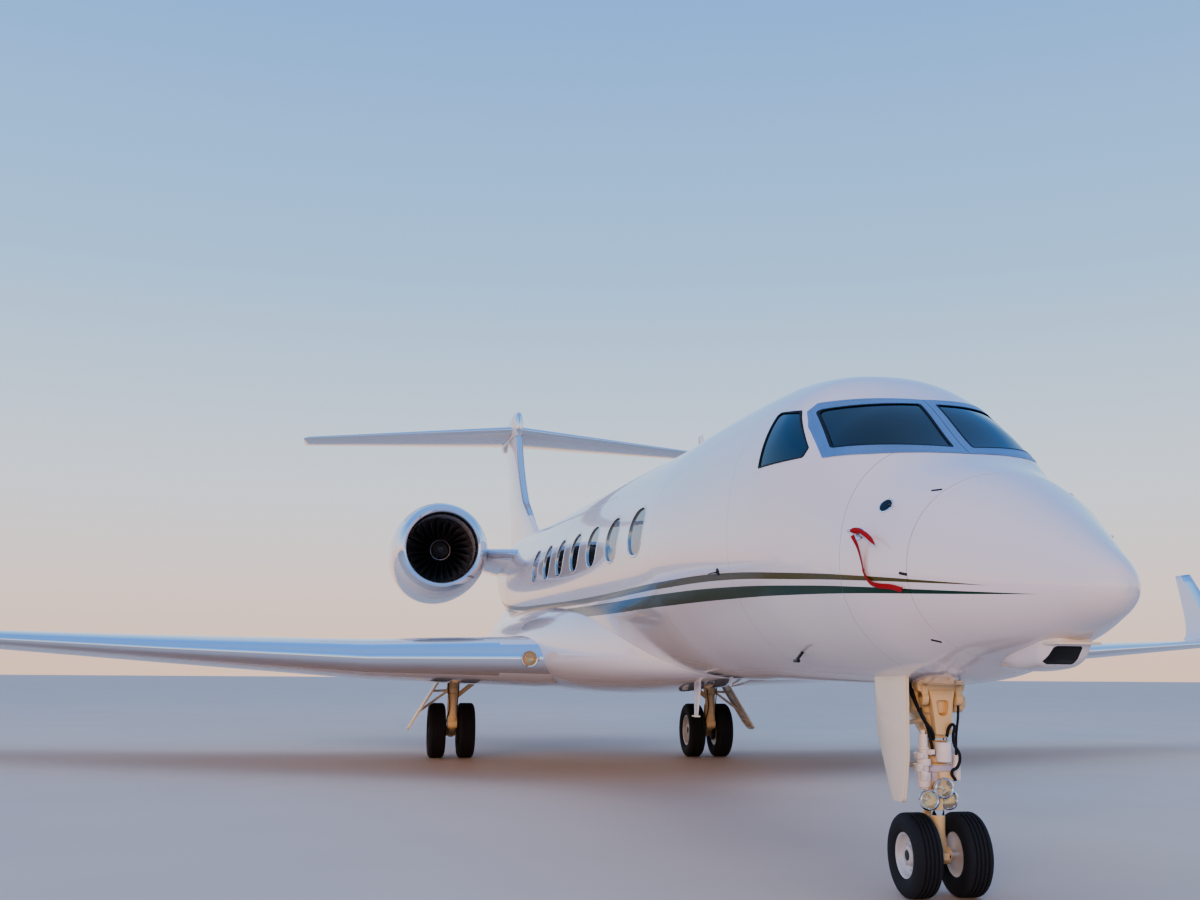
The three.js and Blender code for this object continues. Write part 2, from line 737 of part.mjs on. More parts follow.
function tailplaneBody(grow = 0) {
  const ring = ([x, leading, chord, thickness], sign) =>
    aerofoil(thickness).map(([aft, above]) => [
      sign * x,
      at(leading + chord * aft + 2 * grow * (aft - 0.5)),
      TAIL_HEIGHT + chord * above + (aft > 0 ? Math.sign(above) * grow : 0),
    ]);
  const right = [...TAILPLANE_SECTIONS].reverse().map((row) => ring(row, -1));
  const left = TAILPLANE_SECTIONS.map((row) => ring(row, 1));
  return loft([...right, ...left]);
}

function finBody() {
  const blade = loft(
    FIN_SECTIONS.map(([height, leading, chord, thickness]) =>
      aerofoil(thickness).map(([aft, above]) => [chord * above, at(leading + chord * aft), height]),
    ),
  );
  const cap = loft(
    CAP_SECTIONS.map(([station, halfWidth, low, high]) =>
      Array.from({ length: CAP_SIDES }, (_, i) => {
        const angle = (2 * Math.PI * i) / CAP_SIDES;
        const middle = (low + high) / 2;
        return [halfWidth * Math.sin(angle), at(station), middle + ((high - low) / 2) * Math.cos(angle)];
      }),
    ),
  );
  return cut(join(blade, cap), hullBody(TUBE_END, TAIL_END, SEAT_GAP), tailplaneBody(2 * SEAT_GAP));
}

const RUDDER_HINGE = [
  { point: [0, at(25960), 4930], radius: 108 },
  { point: [0, at(27330), 6990], radius: 80 },
];
const ELEVATOR_LINE = [[420, 27680], [5100, 28960]];

function elevatorHingeEnd(sign, [x, station]) {
  const [root, tip] = TAILPLANE_SECTIONS;
  const share = (x - root[0]) / (tip[0] - root[0]);
  const [, leading, chord, thickness] = root.map((value, column) => value + share * (tip[column] - value));
  const t = (station - leading) / chord;
  return { point: [sign * x, at(station), TAIL_HEIGHT], radius: chord * halfThickness(thickness, t) + 2 };
}

function addTail() {
  const fin = withMovable(finBody(), RUDDER_HINGE, [1, 0, 0], 16);
  piece("fin", fin.fixed, WHITE);
  piece("rudder", fin.moving, WHITE);

  let fixed = tailplaneBody();
  for (const { name, sign } of SIDES) {
    const hinge = ELEVATOR_LINE.map((end) => elevatorHingeEnd(sign, end));
    const half = withMovable(fixed, hinge, [0, 0, 1], 10);
    fixed = half.fixed;
    piece(`elevator_${name}`, half.moving, WHITE);
  }
  piece("tailplane", fixed, WHITE);
}

// Engine profiles, as [radius, station] pairs that close on themselves.
const DUCT_RADIUS = 617;
const LIP_PROFILE = [
  [DUCT_RADIUS, 17610],
  [622, 17480],
  [645, 17390],
  [690, ENGINE_LIP],
  [735, 17380],
  [768, 17440],
  [800, 17550],
];
const NACELLE_OUTSIDE = [
  [801, 17550 + SEAT_GAP],
  [875, 17950],
  [912, 18650],
  [908, 19750],
  [860, 20750],
  [770, 21650],
  [600, 22600],
];
const NACELLE_INSIDE = [
  [575, 22600],
  [DUCT_RADIUS, 21850],
  [DUCT_RADIUS, 17610 + SEAT_GAP],
];
const CORE_PROFILE = [
  [0, 18222 + SEAT_GAP],
  [70, 18222 + SEAT_GAP],
  [70, 18450],
  [DUCT_RADIUS - SEAT_GAP, 18450],
  [DUCT_RADIUS - SEAT_GAP, 21550],
  [330, 21850],
  [180, 22450],
  [0, 22530],
];
const SPINNER_PROFILE = [
  [0, 17800],
  [90, 17860],
  [185, 18020],
  [215, 18110],
  [215, 18222],
  [0, 18222],
];
const ENGINE_SEGMENTS = 24;

function addEngines() {
  for (const { name, sign } of SIDES) {
    const place = [sign * ENGINE_X, at(0), ENGINE_HEIGHT];
    const ring = (profile, segments = ENGINE_SEGMENTS) => turned(profile, "y", place, segments);
    const closed = (profile) => [...profile, profile[0]];
    piece(`inlet_lip_${name}`, ring(closed(LIP_PROFILE)), BARE_METAL);
    piece(`nacelle_${name}`, ring(closed([...NACELLE_OUTSIDE, ...NACELLE_INSIDE])), WHITE);
    piece(`engine_core_${name}`, ring(CORE_PROFILE), DARK);
    piece(`fan_${name}`, fanBody(sign), BLADE);
    piece(`pylon_${name}`, pylonBody(sign), WHITE);
  }
}

// The fan: a spinner and hub with wide twisted blades.
function fanBody(sign) {
  const hub = turned(SPINNER_PROFILE, "y", [0, 0, 0], 16);
  const blade = loft(
    [
      [180, 58, 30],
      [FAN_RADIUS - 4, 62, 62],
    ].map(([radius, halfChord, twist]) => {
      const [aft, round] = [halfChord * Math.cos(rad(twist)), halfChord * Math.sin(rad(twist))];
      const thick = 7;
      return [
        [-round - thick, 18120 - aft, radius],
        [-round + thick, 18120 - aft, radius],
        [round + thick, 18120 + aft, radius],
        [round - thick, 18120 + aft, radius],
      ];
    }),
  );
  const blades = Array.from({ length: FAN_BLADES }, (_, i) => blade.rotate([0, (360 * i) / FAN_BLADES, 0]));
  return join(hub, ...blades).translate([sign * ENGINE_X, at(0), ENGINE_HEIGHT]);
}

// The pylon between body and nacelle. Columns: x, stations of the leading and trailing edge, height, thickness share.
const PYLON_SECTIONS = [
  [850, 16450, 21850, 3420, 0.07],
  [1250, 17450, 21850, 3520, 0.075],
  [1750, 18550, 21850, 3610, 0.085],
];

function pylonBody(sign) {
  const arm = loft(
    PYLON_SECTIONS.map(([x, leading, trailing, height, thickness]) =>
      aerofoil(thickness).map(([aft, above]) => [
        sign * x,
        at(leading + (trailing - leading) * aft),
        height + (trailing - leading) * above,
      ]),
    ),
  );
  const place = [sign * ENGINE_X, at(0), ENGINE_HEIGHT];
  const outside = NACELLE_OUTSIDE.map(([radius, station]) => [radius + SEAT_GAP, station]);
  const ends = [[0, outside[0][1]], ...outside, [0, outside[outside.length - 1][1]]];
  return cut(arm, turned(ends, "y", place, ENGINE_SEGMENTS), hullBody(15000, 25000, SEAT_GAP));
}

// Wheels. A tyre is flat over one facet, so its radius is measured to the middle of a facet.
const TYRE_SEGMENTS = 20;
const flatten = 1 / Math.cos(Math.PI / TYRE_SEGMENTS);

function tyreBody({ radius, width, rim }, place) {
  const depth = radius - rim;
  const half = [
    [rim, 0.36 * width],
    [rim + 0.5 * depth, 0.5 * width],
    [radius - 0.12 * depth, 0.42 * width],
    [radius, 0.27 * width],
  ];
  const profile = [...half.map(([r, across]) => [r, -across]), ...[...half].reverse()];
  const scaled = profile.map(([r, across]) => [r * flatten, across]);
  return turned([...scaled, scaled[0]], "x", place, TYRE_SEGMENTS);
}

// An axle with a rim for each tyre of a twin pair, all in one.
function wheelsBody({ width, rim, spacing }, axleRadius, place) {
  const [x, y, z] = place;
  const reach = spacing / 2 + 0.3 * width;
  const parts = [bar([x - reach, y, z], [x + reach, y, z], axleRadius, axleRadius, BORE_SIDES)];
  for (const { sign } of SIDES) {
    const outer = rim * flatten - SEAT_GAP;
    const profile = [
      [0, -0.38],
      [outer, -0.38],
      [outer, 0.38],
      [0.86 * rim, 0.38],
      [0.8 * rim, 0.12],
      [0, 0.08],
    ].map(([r, share]) => [r, share * width * sign]);
    parts.push(turned(profile, "x", [x + (sign * spacing) / 2, y, z], TYRE_SEGMENTS));
  }
  return join(...parts);
}

function addTwinWheels(prefix, tyre, axleRadius, x, station) {
  const place = [x, at(station), tyre.radius];
  piece(`${prefix}_wheels`, wheelsBody(tyre, axleRadius, place), WHEEL);
  for (const { name, sign } of SIDES) {
    const own = [x + (sign * tyre.spacing) / 2, place[1], place[2]];
    piece(`${prefix}_tyre_${name}`, tyreBody(tyre, own), RUBBER);
  }
}

const NOSE_AXLE = 32;
const MAIN_AXLE = 50;
const BORE_SIDES = 20;

// The hole for an axle, a running fit.
function axleBore([x, y, z], halfLength, radius) {
  return bar([x - halfLength, y, z], [x + halfLength, y, z], radius + 1, radius + 1, BORE_SIDES);
}

function addNoseGear() {
  const y = at(NOSE_GEAR);
  const above = hullBody(300, 5000, SEAT_GAP);
  const trunnion = join(
    bar([-210, y, 1235], [210, y, 1235], 46),
    block([-175, y - 60, 1190], [-125, y + 60, 1420]),
    block([125, y - 60, 1190], [175, y + 60, 1420]),
  );
  const leg = join(
    bar([0, y, 1420], [0, y, 760], 78),
    bar([0, y, 900], [0, y, 700], 100),
    trunnion,
    bar([0, y + 40, 930], [0, y + 700, 1420], 34),
    block([-75, y - 130, 1000], [75, y - 60, 1270]),
    block([-45, y - 150, 706], [45, y - 80, 800]),
  );
  const lamps = [[-140, 628], [-55, 700], [25, 628]].map(([x, z]) => bar([x, y - 190, z], [x, y - 100, z], 62, 40, 14));
  piece("nose_leg", cut(join(leg, ...lamps), above), GEAR);

  const steering = join(
    bar([0, y, 700 - SEAT_GAP], [0, y, 655], 88),
    bar([0, y, 700 - SEAT_GAP], [0, y, 300], 42),
    bar([0, y, 400], [0, y, 300], 52),
    bar([-62, y, NOSE_TYRE.radius], [62, y, NOSE_TYRE.radius], 62),
    block([-36, y + 60, 640], [36, y + 96, 690]),
    block([-28, y - 104, NOSE_TYRE.radius - 26], [28, y - 40, NOSE_TYRE.radius + 26]),
    bar([0, y + 80, 660], [0, y + 170, 500], 20, 20, 8),
    bar([0, y + 170, 500], [0, y + 50, 320], 20, 20, 8),
  );
  piece("nose_steering", cut(steering, axleBore([0, y, NOSE_TYRE.radius], 100, NOSE_AXLE)), GEAR);
  addTwinWheels("nose", NOSE_TYRE, NOSE_AXLE, 0, NOSE_GEAR);

  const panel = throughSide(
    [[1950, 1420], [2450, 1420], [2430, 1050], [2210, 615], [2050, 615], [1975, 900]],
    -330,
    -302,
  );
  const links = [1120, 850].map((z) => bar([-310, y - 40, z - 30], [-(z > 1000 ? 78 : 100) - SEAT_GAP, y, z], 16, 16, 8));
  const strut = bar([0, y, 1420], [0, y, 700], 100 + SEAT_GAP, 100 + SEAT_GAP, 16);
  const slim = bar([0, y, 1420], [0, y, 900 + 1], 78 + SEAT_GAP, 78 + SEAT_GAP, 16);
  piece("nose_gear_door", cut(join(panel, cut(links[0], slim), cut(links[1], strut)), above), WHITE);
}

function addMainGear() {
  const legStation = MAIN_GEAR - 270;
  for (const { name, sign } of SIDES) {
    const x = (sign * MAIN_TRACK) / 2;
    const [legY, axleY, axleZ] = [at(legStation), at(MAIN_GEAR), MAIN_TYRE.radius];
    const carried = join(wingBody(sign), fairingBody());
    const leg = join(
      bar([x, legY, 1700], [x, legY, 600], 84),
      bar([x, legY, 1050], [x, legY, 1250], 105),
      bar([x - 82, legY, 560], [x + 82, legY, 560], 80),
      block([x - 62, legY, 490], [x + 62, axleY, 600]),
      bar([x - 82, axleY, axleZ], [x + 82, axleY, axleZ], 92),
      block([x - 45, axleY - 45, axleZ - 108], [x + 45, axleY + 45, axleZ - 60]),
      bar([x, axleY + 10, 540], [x, legY + 150, 1150], 46, 46, 12),
      bar([x, legY + 150, 1150], [x, legY, 1180], 40, 40, 12),
      bar([x, legY, 950], [x - sign * 800, legY - 30, 1600], 38, 38, 12),
    );
    const panel = block([-14, -250, -1010], [14, 250, 0])
      .rotate([0, -sign * 32, 0])
      .translate([x + sign * 190, legY, 1330]);
    const links = [
      bar([x, legY, 1100], [x + sign * 330, legY, 1085], 20, 20, 8),
      bar([x, legY, 1150], [x + sign * 540, legY, 760], 20, 20, 8),
    ];
    const bore = axleBore([x, axleY, axleZ], 120, MAIN_AXLE);
    const shadow = carried.translate([0, 0, -SEAT_GAP]);
    const whole = cut(join(leg, panel, ...links), bore, shadow, carried.translate([0, 0, 200]), carried);
    piece(`main_leg_${name}`, largest(whole), GEAR);
    addTwinWheels(`main_${name}`, MAIN_TYRE, MAIN_AXLE, x, MAIN_GEAR);
  }
}

// The largest of the bodies that a cut leaves.
function largest(solid) {
  return solid.decompose().sort((a, b) => b.volume() - a.volume())[0];
}

addNose();
addCabin();
addDoor();
addInterior();
addAftFuselage();
addFairing();
addWings();
addTail();
addEngines();
addNoseGear();
addMainGear();

export default jet;
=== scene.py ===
# A large business jet parked on its gear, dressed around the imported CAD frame.
# Metres, nose towards -Y, the jet's left side towards +X. Stations are metres aft of the nose tip.
import math
from contextlib import contextmanager

import bmesh
import bpy
from mathutils import Matrix, Vector
from mathutils.bvhtree import BVHTree
from mathutils.interpolate import poly_3d_calc


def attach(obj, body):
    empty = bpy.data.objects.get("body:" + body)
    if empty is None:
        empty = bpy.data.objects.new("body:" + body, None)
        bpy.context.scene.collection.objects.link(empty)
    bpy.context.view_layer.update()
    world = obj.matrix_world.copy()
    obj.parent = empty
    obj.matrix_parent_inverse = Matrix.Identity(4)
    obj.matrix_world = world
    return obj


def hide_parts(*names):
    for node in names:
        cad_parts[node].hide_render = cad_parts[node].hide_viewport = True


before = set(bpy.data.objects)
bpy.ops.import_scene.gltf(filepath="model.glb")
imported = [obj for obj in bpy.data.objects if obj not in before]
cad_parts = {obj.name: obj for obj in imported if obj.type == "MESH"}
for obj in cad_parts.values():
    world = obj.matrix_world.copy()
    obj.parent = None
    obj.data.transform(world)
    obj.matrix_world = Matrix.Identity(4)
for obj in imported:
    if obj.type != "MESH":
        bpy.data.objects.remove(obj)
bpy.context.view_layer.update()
print("frame loaded")

sides = {"right": -1, "left": 1}
jet = {
    "length": 29.39,
    "fit": 0.0005,  # how far a tool stands off the skin that it follows
    "merge": 0.0001,  # points nearer than this become one
}


def along(station):
    return station - jet["length"] / 2


def at(x, station, z):
    return Vector((x, along(station), z))


def linked(name, data):
    obj = bpy.data.objects.new(name, data)
    bpy.context.scene.collection.objects.link(obj)
    return obj


# The photograph's camera, and what the jet stands on
view = {
    "place": (-3.7508, -20.498, 1.4173), "yaw": 10.533, "pitch": 9.825, "roll": 0.4206,
    "focal": 1279.74, "pixels": 1200, "sensor": 36, "farthest": 600,
}
studio = {
    "sky": [  # colours by the height of the line of sight
        (0.0, (1.0, 0.70, 0.56, 1)), (0.06, (0.98, 0.80, 0.74, 1)), (0.14, (0.80, 0.86, 0.95, 1)),
        (0.30, (0.42, 0.68, 1.0, 1)), (0.58, (0.17, 0.42, 0.97, 1)), (1.0, (0.30, 0.46, 0.80, 1)),
    ],
    "strength": 0.95, "look": "AgX - Medium High Contrast",
    "floor": (0.80, 0.62, 0.50, 1), "floorSize": 500,
    "overhead": {"height": 30, "size": 34, "power": 1500, "colour": (0.90, 0.94, 1.0)},
    "sun": {"toward": (46, 74, -14), "strength": 1.6, "spread": 17, "colour": (1.0, 0.60, 0.34)},
}


def addCamera():
    yaw, pitch, roll = (math.radians(view[key]) for key in ("yaw", "pitch", "roll"))
    ahead = Vector((math.sin(yaw) * math.cos(pitch), math.cos(yaw) * math.cos(pitch), math.sin(pitch)))
    level = Vector((math.cos(yaw), -math.sin(yaw), 0))
    upright = level.cross(ahead)
    right = math.cos(roll) * level + math.sin(roll) * upright
    up = -math.sin(roll) * level + math.cos(roll) * upright
    camera = bpy.data.cameras.new("camera")
    camera.sensor_width = view["sensor"]
    camera.lens = view["focal"] * view["sensor"] / view["pixels"]
    camera.clip_end = view["farthest"]
    obj = linked("camera", camera)
    obj.matrix_world = Matrix.Translation(view["place"]) @ Matrix((right, up, -ahead)).transposed().to_4x4()
    bpy.context.scene.camera = obj


# Node helpers: a wrapped socket takes part in sums, and one method makes every other node.
class Socket:
    def __init__(self, tree, socket):
        self.tree = tree
        self.socket = socket

    def maths(self, operation, *others):
        made = self.tree.nodes.new("ShaderNodeMath")
        made.operation = operation
        for place, value in zip(made.inputs, (self, *others)):
            setSocket(self.tree, place, value)
        return Socket(self.tree, made.outputs[0])

    def __add__(self, other):
        return self.maths("ADD", other)

    def __sub__(self, other):
        return self.maths("SUBTRACT", other)

    def __rsub__(self, other):
        return self * -1 + other

    def __mul__(self, other):
        return self.maths("MULTIPLY", other)

    def __truediv__(self, other):
        return self.maths("DIVIDE", other)

    def __lt__(self, other):
        return self.maths("LESS_THAN", other)

    def __abs__(self):
        return self.maths("ABSOLUTE")

    def near(self, middle, width):  # 1 on the middle, falling to 0 a width away
        return (1 - abs(self - middle) / width).maths("MAXIMUM", 0)


def setSocket(tree, place, value):
    if isinstance(value, Socket):
        tree.links.new(value.socket, place)
    else:
        place.default_value = value


class Nodes:
    def __init__(self, tree):
        self.tree = tree

    def add(self, kind, settings=None, sockets=None, output=0):
        made = self.tree.nodes.new(kind)
        for key, value in (settings or {}).items():
            if key == "stops":
                fillRamp(made.color_ramp, value)
            elif key == "points":
                fillCurve(made.mapping, value)
            else:
                setattr(made, key, value)
        for key, value in (sockets or {}).items():
            setSocket(self.tree, made.inputs[key], value)
        return Socket(self.tree, made.outputs[output])

    def place(self):  # the point's x, y and z on the object
        coords = self.add("ShaderNodeTexCoord", output=3)
        split = self.add("ShaderNodeSeparateXYZ", sockets={0: coords})
        outputs = split.socket.node.outputs
        return [Socket(self.tree, outputs[axis]) for axis in range(3)]

    def mixed(self, factor, first, second):
        settings = {"data_type": "RGBA"}
        return self.add("ShaderNodeMix", settings, {0: factor, 6: first, 7: second}, output=2)

    def noise(self, scale, detail=2.0, stretch=(1, 1, 1)):
        coords = self.add("ShaderNodeTexCoord", output=3)
        scaled = self.add("ShaderNodeMapping", sockets={0: coords, 3: stretch})
        return self.add("ShaderNodeTexNoise", sockets={0: scaled, "Scale": scale, "Detail": detail})


def fillRamp(ramp, stops):
    while len(ramp.elements) < len(stops):
        ramp.elements.new(1.0)
    for element, (position, colour) in zip(ramp.elements, stops):
        element.position = position
        element.color = colour


def fillCurve(mapping, points):
    curve = mapping.curves[0]
    while len(curve.points) < len(points):
        curve.points.new(0.5, 0.5)
    for point, place in zip(curve.points, points):
        point.location = place
    mapping.update()


class Finish(Nodes):
    def __init__(self, name, **constants):
        self.material = bpy.data.materials.new(name)
        self.material.use_nodes = True
        super().__init__(self.material.node_tree)
        self.shader = self.tree.nodes["Principled BSDF"]
        self.feed(**constants)

    def feed(self, **values):
        for key, value in values.items():
            setSocket(self.tree, self.shader.inputs[key.replace("_", " ")], value)

    def rough(self, height, strength, distance=0.002):
        bump = {"Strength": strength, "Distance": distance, "Height": height}
        self.feed(Normal=self.add("ShaderNodeBump", sockets=bump))


def dimmed(colour, share):
    return (*(share * c for c in colour[:3]), 1)


# Paint: pearl white with a fine orange peel, seams, and on the hull two tapered stripes. Its faint lilac-pink
# tint is painted sunset and sky light.
paint = {
    # white paint; the faint lilac-pink tint in it is painted sunset and sky light
    "white": (0.80, 0.735, 0.745, 1),
    "warm": (0.77, 0.725, 0.735, 1),
    "seam": (0.16, 0.17, 0.22, 1),
    "green": (0.002, 0.040, 0.018, 1),
    "olive": (0.085, 0.070, 0.012, 1),
    "roughness": 0.13, "coat": 0.8, "stripeLoss": 0.9, "seamWidth": 0.004,
}
stripeSpan = {"long": 30.0, "high": 5.0}
stripes = {
    "olive": {
        "middle": [
            (0.66, 1.895), (0.90, 1.922), (1.52, 1.985), (2.30, 2.050), (3.72, 2.141), (5.49, 2.182),
            (8.34, 2.225), (12.0, 2.32), (16.5, 2.50), (20.0, 2.86), (23.5, 3.40), (26.5, 3.86),
        ],
        "half": [(0.62, 0.0), (1.5, 0.014), (3.0, 0.024), (8.0, 0.030), (17.0, 0.034), (26.5, 0.020)],
    },
    "green": {
        "middle": [
            (0.41, 1.835), (0.92, 1.870), (1.53, 1.914), (2.34, 1.961), (3.86, 2.020), (5.68, 2.058),
            (8.34, 2.105), (12.0, 2.20), (16.5, 2.385), (20.0, 2.75), (23.5, 3.31), (26.5, 3.80),
        ],
        "half": [
            (0.36, 0.0), (0.92, 0.010), (2.34, 0.030), (3.86, 0.046), (5.68, 0.053), (17.0, 0.058),
            (26.5, 0.03),
        ],
    },
}
hullSeams = [1.75, 3.46, 5.55, 8.42, 11.3, 14.55, 17.05, 20.05, 23.2, 24.9]


def paintFinish(name, colour="white", seams=(), heights=(), spans=(), striped=False):
    made = Finish(name, Coat_Weight=paint["coat"], Coat_Roughness=0.03)
    x, y, z = made.place()
    cloud = made.noise(1.3, 3.0)
    peel = made.noise(55.0, 1.0)
    base = made.mixed(cloud * 0.35, paint[colour], dimmed(paint[colour], 0.93))
    if striped:
        bare = None
        for key, stripe in stripes.items():
            curves = []
            for part in ("middle", "half"):
                points = [(s / stripeSpan["long"], h / stripeSpan["high"]) for s, h in stripe[part]]
                share = (y + jet["length"] / 2) / stripeSpan["long"]
                curves.append(made.add("ShaderNodeFloatCurve", {"points": points}, {1: share}))
            inside = abs(z / stripeSpan["high"] - curves[0]) < curves[1]
            base = made.mixed(inside, base, paint[key])
            bare = inside if bare is None else bare + inside
        made.feed(Coat_Weight=bare * (-paint["stripeLoss"] * paint["coat"]) + paint["coat"])
    lines = None
    for axis, places in ((y, [along(s) for s in seams]), (z, heights), (abs(x), spans)):
        for middle in places:
            line = axis.near(middle, paint["seamWidth"])
            lines = line if lines is None else lines.maths("MAXIMUM", line)
    height = peel * 0.02
    if lines is not None:
        base = made.mixed(lines * 0.75, base, paint["seam"])
        height = height - lines * 0.6
    made.feed(Base_Color=base, Roughness=cloud * 0.05 + paint["roughness"])
    made.rough(height, 0.5, 0.001)
    return made.material


def metalFinish(name, colour, roughness, grain=(1, 1, 1), streak=0.1, wear=0.0, metallic=1.0):
    made = Finish(name, Metallic=metallic)
    fine = made.noise(180.0, 2.0, grain)
    cloud = made.noise(3.0, 4.0)
    base = made.mixed(cloud, colour, dimmed(colour, 1 - wear))
    made.feed(Base_Color=base, Roughness=fine * streak + cloud * streak + roughness)
    made.rough(fine, 0.06, 0.0006)
    return made.material


def plainFinish(name, colour, roughness, bump=0.1, scale=250.0, **constants):
    made = Finish(name, **constants)
    fine = made.noise(scale, 3.0)
    cloud = made.noise(4.0, 3.0)
    base = made.mixed(cloud * 0.6, colour, dimmed(colour, 0.8))
    made.feed(Base_Color=base, Roughness=cloud * 0.1 + roughness)
    made.rough(fine, bump, 0.001)
    return made.material


def glassFinish(name, colour, alpha):
    made = Finish(name, Roughness=0.02, IOR=1.5, Coat_Weight=0.5, Coat_Roughness=0.02)
    cloud = made.noise(1.2, 2.0)
    made.feed(Base_Color=made.mixed(cloud, colour, dimmed(colour, 0.5)), Alpha=cloud * 0.06 + alpha)
    return made.material


def makeFinishes():
    return {
        "hull": paintFinish("hull_paint", seams=hullSeams, striped=True),
        "radome": paintFinish("radome_paint", striped=True),
        "white": paintFinish("white_paint"),
        "wing": paintFinish("wing_paint", "warm", spans=[1.9, 3.6, 5.4, 8.92, 12.9]),
        "fin": paintFinish("fin_paint", heights=[5.37, 6.47, 7.1]),
        "nacelle": paintFinish("nacelle_paint", seams=[18.45, 19.9, 21.4]),
        "polished": metalFinish("polished_metal", (0.80, 0.84, 0.90, 1), 0.06, streak=0.03, wear=0.05),
        # the windshield frame is silver metal; its blue base colour is a painted reflection of the sky
        "frame": metalFinish("frame_metal", (0.40, 0.50, 0.66, 1), 0.26, (1, 1, 0.05), 0.12, 0.25, 0.9),
        "chrome": metalFinish("chrome", (0.90, 0.90, 0.92, 1), 0.04, streak=0.02),
        "dark": metalFinish("dark_metal", (0.05, 0.052, 0.06, 1), 0.42, streak=0.1, wear=0.3, metallic=0.5),
        "hot": metalFinish("exhaust_metal", (0.34, 0.30, 0.28, 1), 0.34, (1, 0.1, 1), 0.12, 0.35),
        # fan blade metal darkened to a near-black brown: painted shade from inside the intake
        "blade": metalFinish("blade_metal", (0.13, 0.125, 0.12, 1), 0.34, (1, 0.1, 1), 0.10, 0.2),
        "glass": glassFinish("windshield_glass", (0.004, 0.022, 0.040, 1), 0.88),
        "cabinGlass": glassFinish("cabin_glass", (0.050, 0.070, 0.095, 1), 0.90),
        "shade": plainFinish("window_shade", (0.70, 0.68, 0.66, 1), 0.45, 0.05),
        "seal": plainFinish("seal_rubber", (0.012, 0.012, 0.012, 1), 0.55),
        "black": plainFinish("black_paint", (0.010, 0.010, 0.010, 1), 0.22, 0.02),
        "carpet": plainFinish("carpet", (0.17, 0.15, 0.12, 1), 0.95, 0.8, 400.0),
        "leather": plainFinish("seat_leather", (0.42, 0.34, 0.24, 1), 0.50, 0.4, 160.0),
        "rim": metalFinish("window_rim", (0.86, 0.84, 0.82, 1), 0.12, streak=0.05, wear=0.1),
        # the gear's cream paint, tinted orange: the orange is painted low-sun light
        "gear": plainFinish("gear_paint", (0.80, 0.59, 0.33, 1), 0.32, 0.06, 300.0, Coat_Weight=0.4),
        # pale door paint with a peach tint that is painted low-sun light; it also dresses the gear doors and
        # the chin visor
        "sunlit_cream": plainFinish("sunlit_door_paint", (0.84, 0.74, 0.60, 1), 0.30, 0.05, 300.0, Coat_Weight=0.4),
        "lavender": plainFinish("collar_paint", (0.55, 0.52, 0.66, 1), 0.35, 0.05),
        "wheel": plainFinish("wheel_paint", (0.62, 0.61, 0.61, 1), 0.34, 0.08, 300.0, Metallic=0.35),
        "rubber": plainFinish("tyre_rubber", (0.018, 0.018, 0.020, 1), 0.72, 0.35, 90.0),
        "lamp": metalFinish("lamp_reflector", (0.95, 0.86, 0.66, 1), 0.10, streak=0.04),
        "gold": metalFinish("gold_reflector", (1.0, 0.66, 0.24, 1), 0.16, streak=0.06, wear=0.2),
        "lens": glassFinish("lamp_glass", (0.80, 0.80, 0.78, 1), 0.10),
        "redLens": glassFinish("red_lens", (0.65, 0.02, 0.02, 1), 0.85),
        "greenLens": glassFinish("green_lens", (0.02, 0.45, 0.15, 1), 0.85),
        "redCloth": plainFinish("red_cloth", (0.40, 0.024, 0.020, 1), 0.85, 0.5, 700.0),
        "console": plainFinish("console_plastic", (0.030, 0.031, 0.036, 1), 0.6, 0.3, 500.0),
    }


slotOf = {finish: slot for slot, group in {
    "gloss_white": ("hull", "radome", "white", "wing", "fin", "nacelle", "sunlit_cream"),
    "bare_metal": ("polished", "chrome", "rim", "lamp", "gold"),
    "dark_metal": ("dark", "hot", "black"),
    "glazing": ("glass", "cabinGlass", "lens", "redLens", "greenLens"),
    "tyre_rubber": ("seal", "rubber"),
    "seat_leather": ("leather", "redCloth"),
    "gear_paint": ("gear", "lavender"),
    "frame_metal": ("frame",), "blade_metal": ("blade",), "wheel_metal": ("wheel",),
}.items() for finish in group}


# Mesh helpers, used as by hand: pick an object, open it, work on what is selected.
def take(*objs):
    bpy.ops.object.select_all(action="DESELECT")
    for obj in objs:
        obj.select_set(True)
    bpy.context.view_layer.objects.active = objs[0]


def fresh(primitive, **settings):
    bpy.ops.object.select_all(action="DESELECT")
    primitive(**settings)
    return bpy.context.object


@contextmanager
def editing(obj, pick="SELECT"):
    take(obj)
    bpy.ops.object.mode_set(mode="EDIT")
    bpy.ops.mesh.select_mode(type="VERT")
    bpy.ops.mesh.select_all(action=pick)
    yield
    bpy.ops.object.mode_set(mode="OBJECT")


def closeUp(obj):  # merges doubles, fills what is open, and turns the faces outwards
    with editing(obj):
        bpy.ops.mesh.remove_doubles(threshold=jet["merge"])
        bpy.ops.mesh.select_all(action="DESELECT")
        bpy.ops.mesh.select_non_manifold(use_wire=False, use_multi_face=False, use_verts=False)
        bpy.ops.mesh.edge_face_add()
        bpy.ops.mesh.select_all(action="SELECT")
        bpy.ops.mesh.normals_make_consistent(inside=False)
    return obj


def wrapped(columns, rows, place):  # a grid whose points go where place(u, v) says, u and v from 0 to 1
    obj = fresh(bpy.ops.mesh.primitive_grid_add, x_subdivisions=columns, y_subdivisions=rows, size=1)
    for vertex in obj.data.vertices:
        vertex.co = place(vertex.co.x + 0.5, vertex.co.y + 0.5)
    return obj


def modified(obj, kind, **settings):
    take(obj)
    modifier = obj.modifiers.new(kind.lower(), kind)
    for key, value in settings.items():
        setattr(modifier, key, value)
    bpy.ops.object.modifier_apply(modifier=modifier.name)
    return obj


def copied(obj):
    return linked("copy", obj.data.copy())


